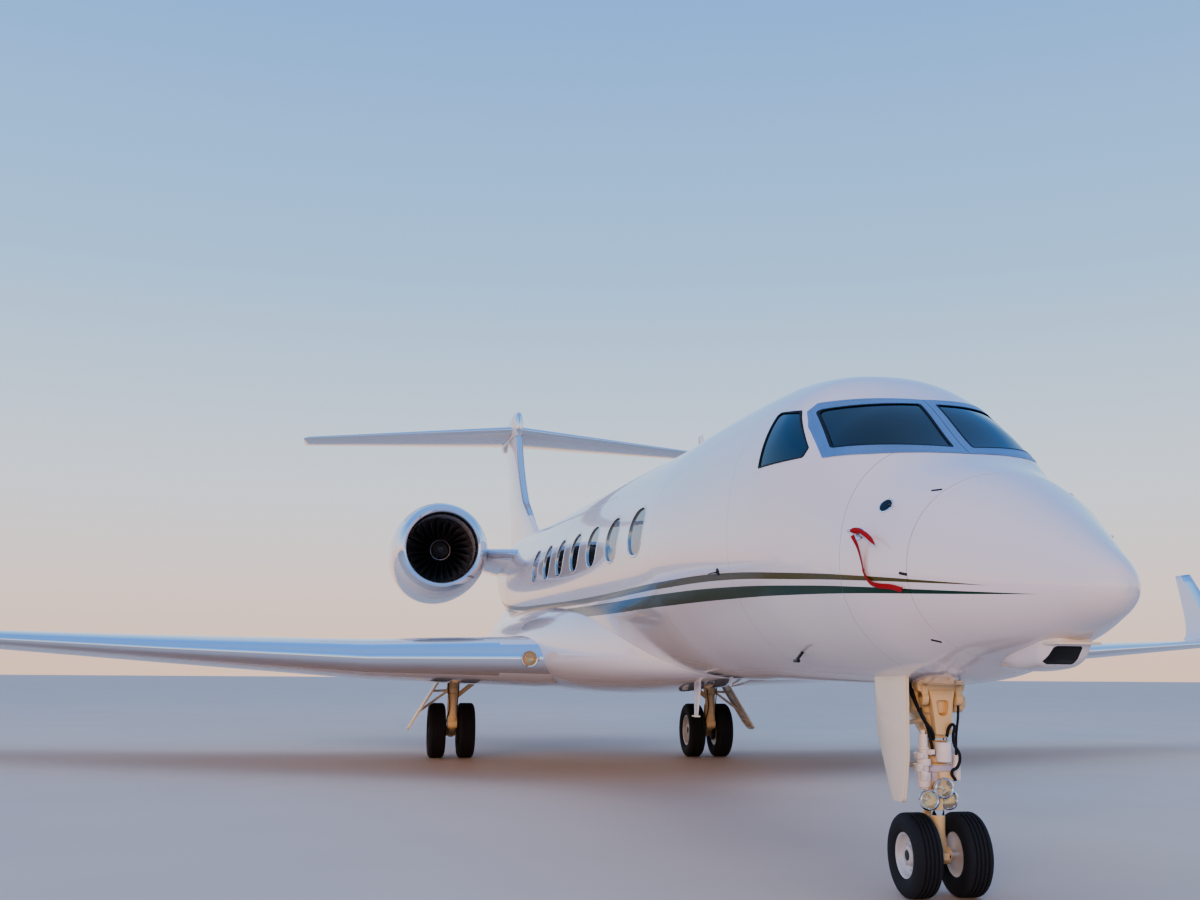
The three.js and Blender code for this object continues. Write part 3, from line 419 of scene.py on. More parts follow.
def cut(obj, *tools, operation="DIFFERENCE"):
    for tool in tools:
        modified(obj, "BOOLEAN", operation=operation, object=tool, solver="EXACT")
        bpy.data.objects.remove(tool)
    return obj


def kept(obj, tool):  # only what lies inside the tool
    return cut(obj, tool, operation="INTERSECT")


def joined(*objs):
    take(*objs)
    if len(objs) > 1:
        bpy.ops.object.join()
    return bpy.context.object


def outlined(points, corner=0.0):  # a flat face through the points, with rounded corners
    mesh = bpy.data.meshes.new("outline")
    mesh.from_pydata([tuple(p) for p in points], [], [tuple(range(len(points)))])
    obj = linked("outline", mesh)
    if corner:
        with editing(obj):
            bpy.ops.mesh.bevel(offset=corner, segments=5, affect="VERTICES", clamp_overlap=True)
    return obj


def pushed(obj, way):  # a flat face carried along a straight way into a closed block
    with editing(obj):
        bpy.ops.mesh.extrude_region_move(TRANSFORM_OT_translate={"value": tuple(way)})
        bpy.ops.mesh.select_all(action="SELECT")
        bpy.ops.mesh.normals_make_consistent(inside=False)
    return obj


def mirrored(obj):  # the other side's copy
    twin = copied(obj)
    twin.data.transform(Matrix.Scale(-1, 4, (1, 0, 0)))
    twin.data.flip_normals()
    return twin


def seated(obj, place):
    obj.data.transform(place)
    return obj


def shadeFrom(obj, source, crease=35):  # faces that lie on the uncut source keep its smooth shading
    take(obj)
    bpy.ops.object.shade_smooth()
    tree = BVHTree.FromObject(source, bpy.context.evaluated_depsgraph_get())
    skin = source.data
    limit = math.cos(math.radians(crease))
    normals = [Vector()] * len(obj.data.loops)
    for face in obj.data.polygons:
        hit, normal, *_ = tree.find_nearest(face.center, 0.02)
        facing = 0.0 if hit is None else normal.dot(face.normal)
        for loop in face.loop_indices:
            normals[loop] = face.normal
            if abs(facing) <= limit:
                continue
            point = obj.data.vertices[obj.data.loops[loop].vertex_index].co
            spot, _, found, _ = tree.find_nearest(point, 0.05)
            if spot is None:
                continue
            corners = skin.polygons[found].vertices
            weights = poly_3d_calc([skin.vertices[i].co for i in corners], spot)
            blend = sum((skin.vertices[i].normal * w for i, w in zip(corners, weights)), Vector())
            normals[loop] = blend.normalized() * (1 if facing > 0 else -1)
    obj.data.normals_split_custom_set(normals)
    return obj


def smooth(obj, angle=32):
    take(obj)
    bpy.ops.object.shade_smooth_by_angle(angle=math.radians(angle))
    return obj


def finished(obj, name, finish, stands=(), body="airframe", slot=None):
    obj.name = obj.data.name = name
    obj.data.materials.clear()
    obj.data.materials.append(finishes[finish])
    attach(obj, body)
    slot = slot or slotOf.get(finish)
    if stands:
        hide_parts(*stands)
    return obj


# The same for one object, or a list to join, with edges sharp above the angle
def dressed(parts, name, finish, stands=(), body="airframe", slot=None, angle=32):
    whole = joined(*parts) if isinstance(parts, list) else parts
    return finished(smooth(whole, angle), name, finish, stands, body, slot)


def rod(start, end, radius, endRadius=None, sides=20, edge=0.12):  # a round bar with rounded ends
    start, end = Vector(start), Vector(end)
    endRadius = radius if endRadius is None else endRadius
    shape = {"vertices": sides, "radius1": radius, "radius2": endRadius, "depth": (end - start).length}
    obj = fresh(bpy.ops.mesh.primitive_cone_add, **shape)
    turn = (end - start).to_track_quat("Z", "Y").to_matrix().to_4x4()
    seated(obj, Matrix.Translation((start + end) / 2) @ turn)
    if edge:
        with editing(obj, "DESELECT"):
            bpy.ops.mesh.select_mode(type="FACE")
            mesh = bmesh.from_edit_mesh(obj.data)
            for face in mesh.faces:
                face.select = len(face.verts) > 4
            bmesh.update_edit_mesh(obj.data)
            bpy.ops.mesh.bevel(offset=edge * min(radius, endRadius), segments=2, affect="EDGES")
    return obj


def box(low, high, edge=0.004):  # a block between two corners with rounded edges
    low, high = Vector(low), Vector(high)
    obj = fresh(bpy.ops.mesh.primitive_cube_add, size=1)
    seated(obj, Matrix.Translation((low + high) / 2) @ Matrix.Diagonal((*(high - low), 1)))
    with editing(obj):
        bpy.ops.mesh.bevel(offset=edge, segments=2, affect="EDGES")
    return obj


def closed(points):
    return [*points, points[0]]


def turned(profile, centre=(0, 0, 0), axis="y", steps=64):  # (radius, distance) rows spun about an axis
    centre = Vector(centre)
    lead = {"x": Vector((1, 0, 0)), "y": Vector((0, 1, 0)), "z": Vector((0, 0, 1))}[axis]
    out = Vector((0, 0, 1)) if axis != "z" else Vector((1, 0, 0))
    points = [centre + lead * distance + out * radius for radius, distance in profile]
    mesh = bpy.data.meshes.new("turned")
    mesh.from_pydata(points, [(i, i + 1) for i in range(len(points) - 1)], [])
    obj = linked("turned", mesh)
    with editing(obj):
        bpy.ops.mesh.spin(steps=steps, angle=2 * math.pi, center=centre, axis=lead)
        bpy.ops.mesh.select_all(action="SELECT")
        bpy.ops.mesh.remove_doubles(threshold=0.00005)
        bpy.ops.mesh.normals_make_consistent(inside=False)
    return obj


def stamped(stamp, places):  # one mesh with a copy of the stamp at each place
    mesh = bmesh.new()
    for place in places:
        before = len(mesh.verts)
        mesh.from_mesh(stamp.data)
        mesh.verts.ensure_lookup_table()
        bmesh.ops.transform(mesh, matrix=place, verts=mesh.verts[before:])
    data = bpy.data.meshes.new("stamped")
    mesh.to_mesh(data)
    mesh.free()
    bpy.data.objects.remove(stamp)
    return linked("stamped", data)


def bulge(value, power):
    return math.copysign(abs(value) ** (2 / power), value)


def smoothTable(rows):  # a smooth curve through a table's rows that never overshoots them
    keys = [row[0] for row in rows]
    steps = [b - a for a, b in zip(keys, keys[1:])]
    columns = list(zip(*rows))[1:]
    slopes = []
    for column in columns:
        rise = [(b - a) / step for a, b, step in zip(column, column[1:], steps)]
        inner = [2 * a * b / (a + b) if a * b > 0 else 0.0 for a, b in zip(rise, rise[1:])]
        slopes.append([rise[0], *inner, rise[-1]])

    def read(key):
        i = max(0, min(len(steps) - 1, sum(key > k for k in keys[1:])))
        t = (key - keys[i]) / steps[i]
        out = []
        for column, slope in zip(columns, slopes):
            a, b, first, last = column[i], column[i + 1], slope[i] * steps[i], slope[i + 1] * steps[i]
            out.append(
                a * (1 + 2 * t) * (1 - t) ** 2 + first * t * (1 - t) ** 2
                + b * t * t * (3 - 2 * t) - last * t * t * (1 - t)
            )
        return out

    return read


# The hull. Columns: station, half width, crown, keel, height of the widest line, roundness of the top.
hull = {
    "nose": [
        (0, 0.012, 1.868, 1.842, 1.856, 2),
        (0.03, 0.081, 1.941, 1.786, 1.862, 2),
        (0.12, 0.159, 2.021, 1.719, 1.866, 2),
        (0.3, 0.253, 2.136, 1.655, 1.884, 2),
        (0.6, 0.408, 2.314, 1.574, 1.923, 2),
        (1.125, 0.662, 2.592, 1.478, 2.000, 2.1),
        (1.6, 0.799, 2.793, 1.372, 2.040, 2.3),
        (2.2, 0.893, 3.239, 1.342, 2.160, 2.5),
        (2.9, 1.015, 3.584, 1.346, 2.310, 2.4),
        (3.8, 1.075, 3.713, 1.351, 2.410, 2.15),
        (5.0, 1.152, 3.753, 1.358, 2.510, 2),
    ],
    "tail": [
        (18.55, 1.145, 4.160, 2.010, 3.050, 2),
        (20.05, 1.040, 4.215, 2.350, 3.230, 2),
        (21.55, 0.875, 4.255, 2.740, 3.460, 2),
        (23.2, 0.650, 4.272, 3.110, 3.680, 2),
        (24.9, 0.400, 4.262, 3.470, 3.870, 2),
        (26.2, 0.190, 4.200, 3.760, 3.980, 2),
    ],
    "tube": [5.8, 9.0, 13.0, 17.05],
    "halfWidth": 1.184, "crown": 1.192, "keel": 1.199, "axis": 2.602, "axisAt": 7.55, "rise": 0.0313,
    "around": 96, "skin": 0.045,
    "noseEnd": 1.125, "cockpitEnd": 5.55, "cabinEnd": 14.55, "end": 26.2,
    "noseJoint": 0.002, "joint": 0.001, "beyond": 1.4, "underWing": (5.8, 22),
}


def tubeAxis(station):
    return hull["axis"] + hull["rise"] * (station - hull["axisAt"])


def tubeRow(station):
    axis = tubeAxis(station)
    return (station, hull["halfWidth"], axis + hull["crown"], axis - hull["keel"], axis, 2)


hullAt = smoothTable([*hull["nose"], *map(tubeRow, hull["tube"]), *hull["tail"]])


def hullPoint(angle, station, grow=0.0):
    halfWidth, crown, keel, waist, power = hullAt(station)
    up = math.cos(angle)
    reach = (crown - waist if up > 0 else waist - keel) + grow
    power = power if up > 0 else 2
    x = (halfWidth + grow) * bulge(math.sin(angle), power)
    return at(x, station, waist + reach * bulge(up, power))


def hullSheet(start, end, rows, grow=0.0, ease=1.0, arc=(0, 2 * math.pi), around=None):
    def place(u, v):
        return hullPoint(arc[0] + u * (arc[1] - arc[0]), start + (end - start) * v**ease, grow)

    return wrapped(around or hull["around"], rows, place)


def hullSolid(start, end, rows, grow=0.0, ease=1.0):
    return closeUp(hullSheet(start, end, rows, grow, ease))


def hullShell(start, end, rows):  # the skin as a closed wall with open ends
    obj = hullSheet(start, end, rows)
    with editing(obj):
        bpy.ops.mesh.remove_doubles(threshold=jet["merge"])
        bpy.ops.mesh.normals_make_consistent(inside=False)
    source = copied(obj)
    modified(obj, "SOLIDIFY", thickness=hull["skin"], offset=-1)
    return obj, source


# Outlines of the cockpit's glazing: front view (x, z) of the right-hand half, side view (station, z).
glazing = {
    "frame": [
        (0, 2.788), (-0.560, 2.808), (-0.765, 2.828), (-0.740, 3.100), (-0.695, 3.238), (-0.622, 3.298),
        (-0.343, 3.288), (0, 3.276),
    ],
    "pane": [(-0.060, 2.843), (-0.720, 2.890), (-0.668, 3.215), (-0.640, 3.234), (-0.052, 3.230)],
    "side": [(2.960, 2.868), (3.058, 3.290), (3.020, 3.306), (2.712, 3.262), (2.362, 2.925), (2.385, 2.862)],
    "corner": 0.03, "sideCorner": 0.012, "stand": 0.004, "seal": 0.014,
    "frontReach": (1.2, 3.2), "sideReach": (0.4, 1.5),  # where the tools that cut the outlines start and end
}


def spread(points, distance):  # an outline moved outwards by about the same distance all round
    middle = sum((Vector(p) for p in points), Vector((0, 0))) / len(points)
    out = []
    for p in points:
        arm = Vector(p) - middle
        out.append(middle + arm * (1 + 1.25 * distance / arm.length))
    return out


def frontTool(points, sign=-1, corner=0.0):
    start, end = glazing["frontReach"]
    face = outlined([at(-sign * x, start, z) for x, z in points], corner)
    return pushed(face, (0, end - start, 0))


def sideTool(points, sign, corner=0.0):
    inner, outer = glazing["sideReach"]
    face = outlined([at(sign * inner, s, z) for s, z in points], corner)
    return pushed(face, (sign * (outer - inner), 0, 0))


door = {"start": 3.89, "end": 4.82, "sill": 1.70, "head": 3.29, "corner": 0.16, "gap": 0.009}
window = {
    "first": 6.19, "pitch": 1.19, "count": 7, "width": 0.66, "height": 0.48, "rise": 0.19, "power": 2.4,
    "points": 40,
}


def rectangle(left, right, low, high):
    return [(left, low), (right, low), (right, high), (left, high)]


def doorOutline(grow=0.0):
    return rectangle(door["start"] - grow, door["end"] + grow, door["sill"] - grow, door["head"] + grow)


def windowEdge(number, turn, grow=0.0):  # the station and height of a point on a window's outline
    middle = window["first"] + number * window["pitch"]
    station = middle + (window["width"] / 2 + grow) * bulge(math.cos(turn), window["power"])
    up = (window["height"] / 2 + grow) * bulge(math.sin(turn), window["power"])
    return station, tubeAxis(middle) + window["rise"] + up


def windowOutline(number):
    return [windowEdge(number, 2 * math.pi * i / window["points"]) for i in range(window["points"])]


def frameTool():
    half = glazing["frame"]
    return frontTool(half + [(-x, z) for x, z in reversed(half[1:-1])])


def addHull():
    radome = hullSolid(0, hull["noseEnd"] - hull["noseJoint"], 40, ease=1.7)
    dressed(radome, "nose_cone", "radome", ["radome"])

    cockpit, source = hullShell(hull["noseEnd"] + hull["noseJoint"], hull["cockpitEnd"] - hull["joint"], 64)
    cut(cockpit, frameTool())
    for sign in sides.values():
        cut(cockpit, sideTool(glazing["side"], sign, glazing["sideCorner"]))
    cut(cockpit, sideTool(doorOutline(door["gap"]), 1, door["corner"]))
    shadeFrom(cockpit, source)
    finished(cockpit, "cockpit_skin", "hull", ["cockpit_section"])
    bpy.data.objects.remove(source)

    cabin, source = hullShell(hull["cockpitEnd"], hull["cabinEnd"], 60)
    for number in range(window["count"]):
        face = outlined([at(-hull["beyond"], s, z) for s, z in windowOutline(number)])
        cut(cabin, pushed(face, (2 * hull["beyond"], 0, 0)))
    shadeFrom(cabin, source)
    finished(cabin, "cabin_skin", "hull", ["cabin_section"])
    bpy.data.objects.remove(source)

    tail = hullSolid(hull["cabinEnd"] + hull["joint"], hull["end"], 70)
    dressed(tail, "tail_skin", "hull", ["aft_fuselage"])
    print("hull made")


# The fairing between wing and body. Columns: station, half width, keel, height of the widest line.
fairing = {
    "rows": [
        (6.85, 0.250, 1.370, 1.500), (8.15, 0.800, 1.285, 1.560), (9.55, 1.180, 1.200, 1.620),
        (11.05, 1.440, 1.140, 1.680), (12.55, 1.580, 1.120, 1.720), (14.55, 1.620, 1.130, 1.760),
        (16.35, 1.560, 1.200, 1.820), (17.75, 1.350, 1.380, 1.980), (18.85, 1.000, 1.640, 2.200),
        (19.75, 0.500, 1.960, 2.450),
    ],
    "top": 0.75, "power": 2.4,
}
fairingAt = smoothTable(fairing["rows"])


def fairingSolid(grow=0.0):
    first, last = fairing["rows"][0][0], fairing["rows"][-1][0]

    def place(u, v):
        station = first + (last - first) * v
        halfWidth, keel, waist = fairingAt(station)
        up = math.cos(2 * math.pi * u)
        reach = (fairing["top"] if up > 0 else waist - keel) + grow
        x = (halfWidth + grow) * bulge(math.sin(2 * math.pi * u), fairing["power"])
        return at(x, station, waist + reach * bulge(up, fairing["power"]))

    return closeUp(wrapped(72, 70, place))


def addFairing():
    belly = fairingSolid()
    source = copied(belly)
    cut(belly, hullSolid(*hull["underWing"], 60, jet["fit"]))
    shadeFrom(belly, source)
    finished(belly, "wing_fairing", "white", ["belly_fairing"])
    bpy.data.objects.remove(source)
    print("fairing made")


# Lifting surfaces: every section is an aerofoil of (share of chord, height as a share of chord).
def halfThickness(thickness, t):
    curve = 0.2969 * math.sqrt(t) - 0.126 * t - 0.3516 * t**2 + 0.2843 * t**3 - 0.1036 * t**4
    return 5 * thickness * curve + 0.0012


foilSides = 65  # the last of them is the blunt trailing edge


def foilPoint(u, thickness, camber=0.0):  # u goes from the trailing edge over the top and back below
    u = 0.0 if u > 1 - 0.5 / foilSides else u * foilSides / (foilSides - 1)
    t = (1 + math.cos(2 * math.pi * u)) / 2
    above = halfThickness(thickness, t) * (1 if u < 0.5 else -1)
    return t, camber * 4 * t * (1 - t) + above


wing = {
    "rows": [  # x, heights of the leading and trailing edge, thickness share
        (0.70, 1.575, 1.330, 0.108), (3.60, 1.575, 1.465, 0.112), (6.60, 1.710, 1.630, 0.105),
        (9.10, 1.840, 1.767, 0.100), (13.35, 2.080, 2.000, 0.100),
    ],
    "winglet": [  # x and station of the leading edge, height, chord, thickness share, lean in degrees
        (13.62, 17.84, 2.12, 1.40, 0.095, 22), (13.83, 18.07, 2.27, 1.27, 0.09, 55),
        (13.96, 18.40, 2.56, 1.10, 0.085, 75), (14.23, 19.61, 3.62, 0.52, 0.08, 78),
    ],
    "root": 1.15, "leading": 10.62, "sweep": 30.0, "trailing": 17.15, "kink": 3.60, "tip": 13.35,
    "tipChord": 1.48, "camber": 0.008,
    "flap": [(1.90, 16.31), (8.80, 17.48)],
    "aileron": [(9.05, 17.54), (12.70, 18.51)],
    "gap": 0.010,
}


def wingLeading(x):
    return wing["leading"] + math.tan(math.radians(wing["sweep"])) * (x - wing["root"])


def wingTrailing(x):
    share = max(0.0, (x - wing["kink"]) / (wing["tip"] - wing["kink"]))
    return wing["trailing"] + share * (wingLeading(wing["tip"]) + wing["tipChord"] - wing["trailing"])


def linearTable(rows):
    keys = [row[0] for row in rows]

    def read(key):
        i = max(1, min(len(rows) - 1, sum(key > k for k in keys)))
        share = (key - keys[i - 1]) / (keys[i] - keys[i - 1])
        return [a + share * (b - a) for a, b in zip(rows[i - 1][1:], rows[i][1:])]

    return read


wingAt = linearTable(wing["rows"])
tipRow = (wing["tip"], wingLeading(wing["tip"]), 2.08, wing["tipChord"], 0.10, 4.0)
wingletAt = smoothTable([(i, *row) for i, row in enumerate([tipRow, *wing["winglet"]])])


def wingPoint(u, x):
    front, back, thickness = wingAt(x)
    leading, trailing = wingLeading(x), wingTrailing(x)
    t, above = foilPoint(u, thickness, wing["camber"])
    chord = trailing - leading
    return at(x, leading + chord * t, front + (back - front) * t + chord * above)


def wingletPoint(u, step):
    x, leading, height, chord, thickness, lean = wingletAt(step)
    t, above = foilPoint(u, thickness)
    rise = chord * above
    lean = math.radians(lean)
    return at(x - rise * math.sin(lean), leading + chord * t, height + rise * math.cos(lean))


def wingSolid():  # the left wing, straight to the tip and then curling up into the winglet
    stops = sorted({*(row[0] for row in wing["rows"][:-1]), *(0.7 + 0.6 * i for i in range(22))})
    stops = [s for s in stops if s < wing["tip"] - 0.2] + [wing["tip"]]
    curl = [i / 6 for i in range(1, 25)]
    rows = len(stops) + len(curl) - 1

    def place(u, v):
        row = round(v * rows)
        return wingPoint(u, stops[row]) if row < len(stops) else wingletPoint(u, curl[row - len(stops)])

    return closeUp(wrapped(foilSides, rows, place))


def hingeEnd(x, station):
    front, back, thickness = wingAt(x)
    chord = wingTrailing(x) - wingLeading(x)
    t = (station - wingLeading(x)) / chord
    height = front + (back - front) * t + chord * wing["camber"] * 4 * t * (1 - t)
    return at(x, station, height), chord * halfThickness(thickness, t)


def hingeTool(ends, trim, clearance, across=(0, 0, 1)):  # everything behind a hinge, with a round nose
    (start, startRadius), (end, endRadius) = ends
    lead = (end - start).normalized()
    aft = lead.cross(Vector(across)).normalized()
    if aft.y < 0:
        aft.negate()
    up = aft.cross(lead).normalized()
    first, last = start + lead * trim, end - lead * trim
    nose = rod(first, last, startRadius + clearance, endRadius + clearance, 40, 0.0)
    tall, deep = up * 0.6, aft * 2.4
    corners = [first + tall, first - tall, first - tall + deep, first + tall + deep]
    return cut(pushed(outlined(corners), last - first), nose, operation="UNION")


def splitAt(whole, ends, gap, across=(0, 0, 1)):  # the moving part, cut out of the whole
    moving = kept(copied(whole), hingeTool(ends, gap, 0.0, across))
    cut(whole, hingeTool(ends, 0.0, gap, across))
    return moving


def brighten(obj, leadingOf, depth):  # faces near the leading edge take the polished metal
    obj.data.materials.append(finishes["polished"])
    for face in obj.data.polygons:
        if face.center.y < along(leadingOf(face.center)) + depth:
            face.material_index = 1


def addWings():
    whole = wingSolid()
    source = copied(whole)
    flap = splitAt(whole, [hingeEnd(*end) for end in wing["flap"]], wing["gap"])
    aileron = splitAt(whole, [hingeEnd(*end) for end in wing["aileron"]], wing["gap"])
    cut(whole, fairingSolid(jet["fit"]), hullSolid(*hull["underWing"], 40, jet["fit"]))
    sources = {"left": source, "right": mirrored(source)}
    for obj, label in ((whole, "wing"), (flap, "flap"), (aileron, "aileron")):
        for side, half in (("left", obj), ("right", mirrored(obj))):
            node = f"{label}_{side}"
            shadeFrom(half, sources[side])
            if obj is whole:
                finished(half, f"{label}_skin_{side}", "wing", [node])
                brighten(half, lambda p: wingEdge(abs(p.x), p.z), 0.30)
            else:
                finished(half, f"{label}_skin_{side}", "white", [node], body=node)
    for old in sources.values():
        bpy.data.objects.remove(old)
    print("wings made")


def wingEdge(x, z):  # station of the leading edge, on the wing or up the winglet
    if x < wing["tip"]:
        return wingLeading(x)
    low, high = wing["winglet"][1], wing["winglet"][-1]
    share = min(1, max(0, (z - low[2]) / (high[2] - low[2])))
    return wingLeading(x) if z < low[2] else low[1] + share * (high[1] - low[1])


tail = {
    "fin": [  # height, station of the leading edge, chord, thickness share
        (4.00, 20.90, 5.50, 0.04), (4.62, 22.15, 4.48, 0.055), (5.05, 23.05, 3.82, 0.075),
        (5.37, 23.72, 3.33, 0.09), (6.47, 24.85, 2.82, 0.10), (7.20, 25.35, 2.73, 0.10),
    ],
    "cap": [  # station, half width, lowest and highest point
        (25.40, 0.03, 7.33, 7.70), (25.56, 0.11, 7.24, 7.84), (25.80, 0.15, 7.18, 7.87),
        (26.50, 0.18, 7.18, 7.83), (27.70, 0.18, 7.19, 7.69), (28.60, 0.11, 7.26, 7.56),
        (29.05, 0.025, 7.34, 7.45),
    ],
    "plane": [(0.0, 25.695, 2.767, 0.1), (5.29, 28.13, 1.23, 0.09), (5.36, 28.25, 1.14, 0.05)],
    "height": 7.42, "halfSpan": 5.36, "brightFrom": 4.9,
    "rudder": [((0, 25.96, 4.93), 0.106), ((0, 27.33, 6.99), 0.078)],
    "elevator": [(0.42, 27.68), (5.10, 28.96)],
    "gap": 0.010,
}
finAt = smoothTable(tail["fin"])
capAt = smoothTable(tail["cap"])
planeAt = linearTable(tail["plane"])


def finPlace(u, v):
    low, high = tail["fin"][0][0], tail["fin"][-1][0]
    height = low + (high - low) * v
    leading, chord, thickness = finAt(height)
    t, above = foilPoint(u, thickness)
    return at(chord * above, leading + chord * t, height)


def capPlace(u, v):
    first, last = tail["cap"][0][0], tail["cap"][-1][0]
    station = first + (last - first) * (0.5 - 0.5 * math.cos(math.pi * v))
    halfWidth, low, high = capAt(station)
    angle = 2 * math.pi * u
    return at(halfWidth * math.sin(angle), station, (low + high) / 2 + (high - low) / 2 * math.cos(angle))


def planePlace(u, v):
    x = tail["halfSpan"] * (2 * v - 1)
    leading, chord, thickness = planeAt(abs(x))
    t, above = foilPoint(u, thickness)
    return at(x, leading + chord * t, tail["height"] + chord * above)


def addTail():
    fin, cap = closeUp(wrapped(foilSides, 40, finPlace)), closeUp(wrapped(40, 48, capPlace))
    cut(fin, cap, operation="UNION")
    source = copied(fin)
    cut(fin, hullSolid(17, 26.2, 50, jet["fit"]))
    ends = [(at(x, s, z), radius) for (x, s, z), radius in tail["rudder"]]
    rudder = splitAt(fin, ends, tail["gap"], (1, 0, 0))
    plane = closeUp(wrapped(foilSides, 90, planePlace))
    planeSource = copied(plane)
    for obj, label in ((fin, "fin"), (rudder, "rudder")):
        shadeFrom(obj, source, 45)
        body = "airframe" if label == "fin" else "rudder"
        finished(obj, f"{label}_skin", "fin", [label], body=body)
    low, high = tail["fin"][0][0], tail["fin"][-1][0]
    brighten(fin, lambda p: finAt(min(high, max(low, p.z)))[0] if p.z > tail["brightFrom"] else 0, 0.13)
    for side, sign in sides.items():
        ends = []
        for x, station in tail["elevator"]:
            leading, chord, thickness = planeAt(x)
            point = at(sign * x, station, tail["height"])
            ends.append((point, chord * halfThickness(thickness, (station - leading) / chord)))
        elevator = splitAt(plane, ends, tail["gap"])
        shadeFrom(elevator, planeSource)
        finished(elevator, f"elevator_skin_{side}", "white", [f"elevator_{side}"], body=f"elevator_{side}")
    shadeFrom(plane, planeSource)
    finished(plane, "tailplane_skin", "white", ["tailplane"])
    brighten(plane, lambda p: planeAt(min(tail["halfSpan"], abs(p.x)))[0], 0.12)
    for old in (source, planeSource):
        bpy.data.objects.remove(old)
    print("tail made")


# Engines, as profiles of (radius, station).
engine = {
    "x": 2.32, "z": 3.615, "steps": 96,
    "lip": [
        (0.617, 17.61), (0.6172, 17.56), (0.620, 17.50), (0.628, 17.44), (0.640, 17.40), (0.660, 17.366),
        (0.690, 17.35), (0.716, 17.360), (0.735, 17.38), (0.755, 17.413), (0.771, 17.45), (0.787, 17.50),
        (0.800, 17.549), (0.78, 17.549), (0.66, 17.549), (0.64, 17.61),
    ],
    "outside": [
        (0.801, 17.5505), (0.842, 17.75), (0.875, 17.95), (0.900, 18.28), (0.912, 18.65), (0.916, 19.20),
        (0.908, 19.75), (0.889, 20.25), (0.860, 20.75), (0.822, 21.20), (0.770, 21.65), (0.695, 22.12),
        (0.600, 22.60),
    ],
    "inside": [(0.592, 22.602), (0.575, 22.60), (0.600, 22.20), (0.617, 21.85), (0.617, 17.6105)],
    "core": [
        (0.030, 18.2225), (0.200, 18.2225), (0.260, 18.30), (0.300, 18.45), (0.300, 21.5), (0.290, 21.80),
        (0.230, 22.20), (0.120, 22.46), (0.0, 22.53),
    ],
    "spinner": [
        (0.0, 17.80), (0.030, 17.808), (0.062, 17.828), (0.100, 17.868), (0.145, 17.93), (0.184, 18.005),
        (0.206, 18.07), (0.215, 18.13), (0.215, 18.222), (0.0, 18.222),
    ],
    "band": [
        (0.176, 17.985), (0.190, 18.000), (0.206, 18.040), (0.214, 18.070), (0.216, 18.090), (0.205, 18.092),
        (0.176, 18.000),
    ],
    "wall": [(0.290, 18.90), (0.6165, 18.90), (0.6165, 18.93), (0.290, 18.93)],
    "blades": 24, "bladeRoot": 0.19, "bladeTip": 0.601, "bladeAngle": 28, "bladeTwist": 36,
    "bladeCamber": 0.05, "bladeSweep": 0.020, "fan": 18.12,
    "vanes": 22, "vaneFrom": 18.50, "vaneChord": 0.14, "vaneRoot": 0.29, "vaneSpan": 0.33, "vaneCamber": 0.04,
}


def bladePlace(u, v):  # a wide blade, twisted from root to tip and swept near its tip
    radius = engine["bladeRoot"] + (engine["bladeTip"] - engine["bladeRoot"]) * v
    angle = math.radians(engine["bladeAngle"] + engine["bladeTwist"] * v)
    chord = 0.118 + 0.020 * math.sin(math.pi * min(1.0, v * 0.8))
    t, above = foilPoint(u, 0.075 - 0.035 * v, engine["bladeCamber"])
    side, aft = (t - 0.5) * chord, above * chord
    lean = engine["bladeSweep"] * v * v
    return Vector((
        side * math.sin(angle) - aft * math.cos(angle),
        side * math.cos(angle) + aft * math.sin(angle) + lean,
        radius,
    ))


def addEngines():
    parts = {
        "inlet_ring": (engine["lip"], "polished", "inlet_lip"),
        "nacelle_skin": (engine["outside"] + engine["inside"], "nacelle", "nacelle"),
    }
    for side, sign in sides.items():
        centre = at(sign * engine["x"], 0, engine["z"])
        for label, (profile, finish, node) in parts.items():
            ring = turned(closed(profile), centre, steps=engine["steps"])
            dressed(ring, f"{label}_{side}", finish, [f"{node}_{side}"], angle=40)
        core = turned(engine["core"], centre)
        vanes = stamped(closeUp(wrapped(foilSides, 2, vanePlace)), turnsAbout(centre, engine["vanes"]))
        wall = turned(closed(engine["wall"]), centre)
        dressed([core, vanes, wall], f"core_and_vanes_{side}", "hot", [f"engine_core_{side}"], angle=40)

        fan = f"fan_{side}"
        blade = seated(closeUp(wrapped(foilSides, 10, bladePlace)), Matrix.Translation((0, engine["fan"], 0)))
        blades = stamped(blade, turnsAbout(centre, engine["blades"]))
        dressed(blades, f"fan_blades_{side}", "blade", [fan], body=fan, angle=50)
        dressed(turned(engine["spinner"], centre, steps=48), f"spinner_{side}", "black", body=fan, angle=40)
        band = turned(closed(engine["band"]), centre, steps=48)
        dressed(band, f"spinner_band_{side}", "rim", body=fan, angle=60)
        addPylon(side, sign)
    print("engines made")


def turnsAbout(centre, count):
    middle = Matrix.Translation(centre)
    return [middle @ Matrix.Rotation(2 * math.pi * i / count, 4, "Y") for i in range(count)]


def vanePlace(u, v):  # a fixed vane behind the fan
    t, above = foilPoint(u, 0.09, engine["vaneCamber"])
    chord, height = engine["vaneChord"], engine["vaneRoot"] + engine["vaneSpan"] * v
    return Vector((above * chord + 0.03 * t, engine["vaneFrom"] + chord * t, height))


pylon = [  # x, stations of the leading and trailing edge, height, thickness share
    (0.85, 16.45, 21.85, 3.42, 0.07), (1.25, 17.45, 21.85, 3.52, 0.075), (1.75, 18.55, 21.85, 3.61, 0.085),
]
pylonAt = smoothTable(pylon)


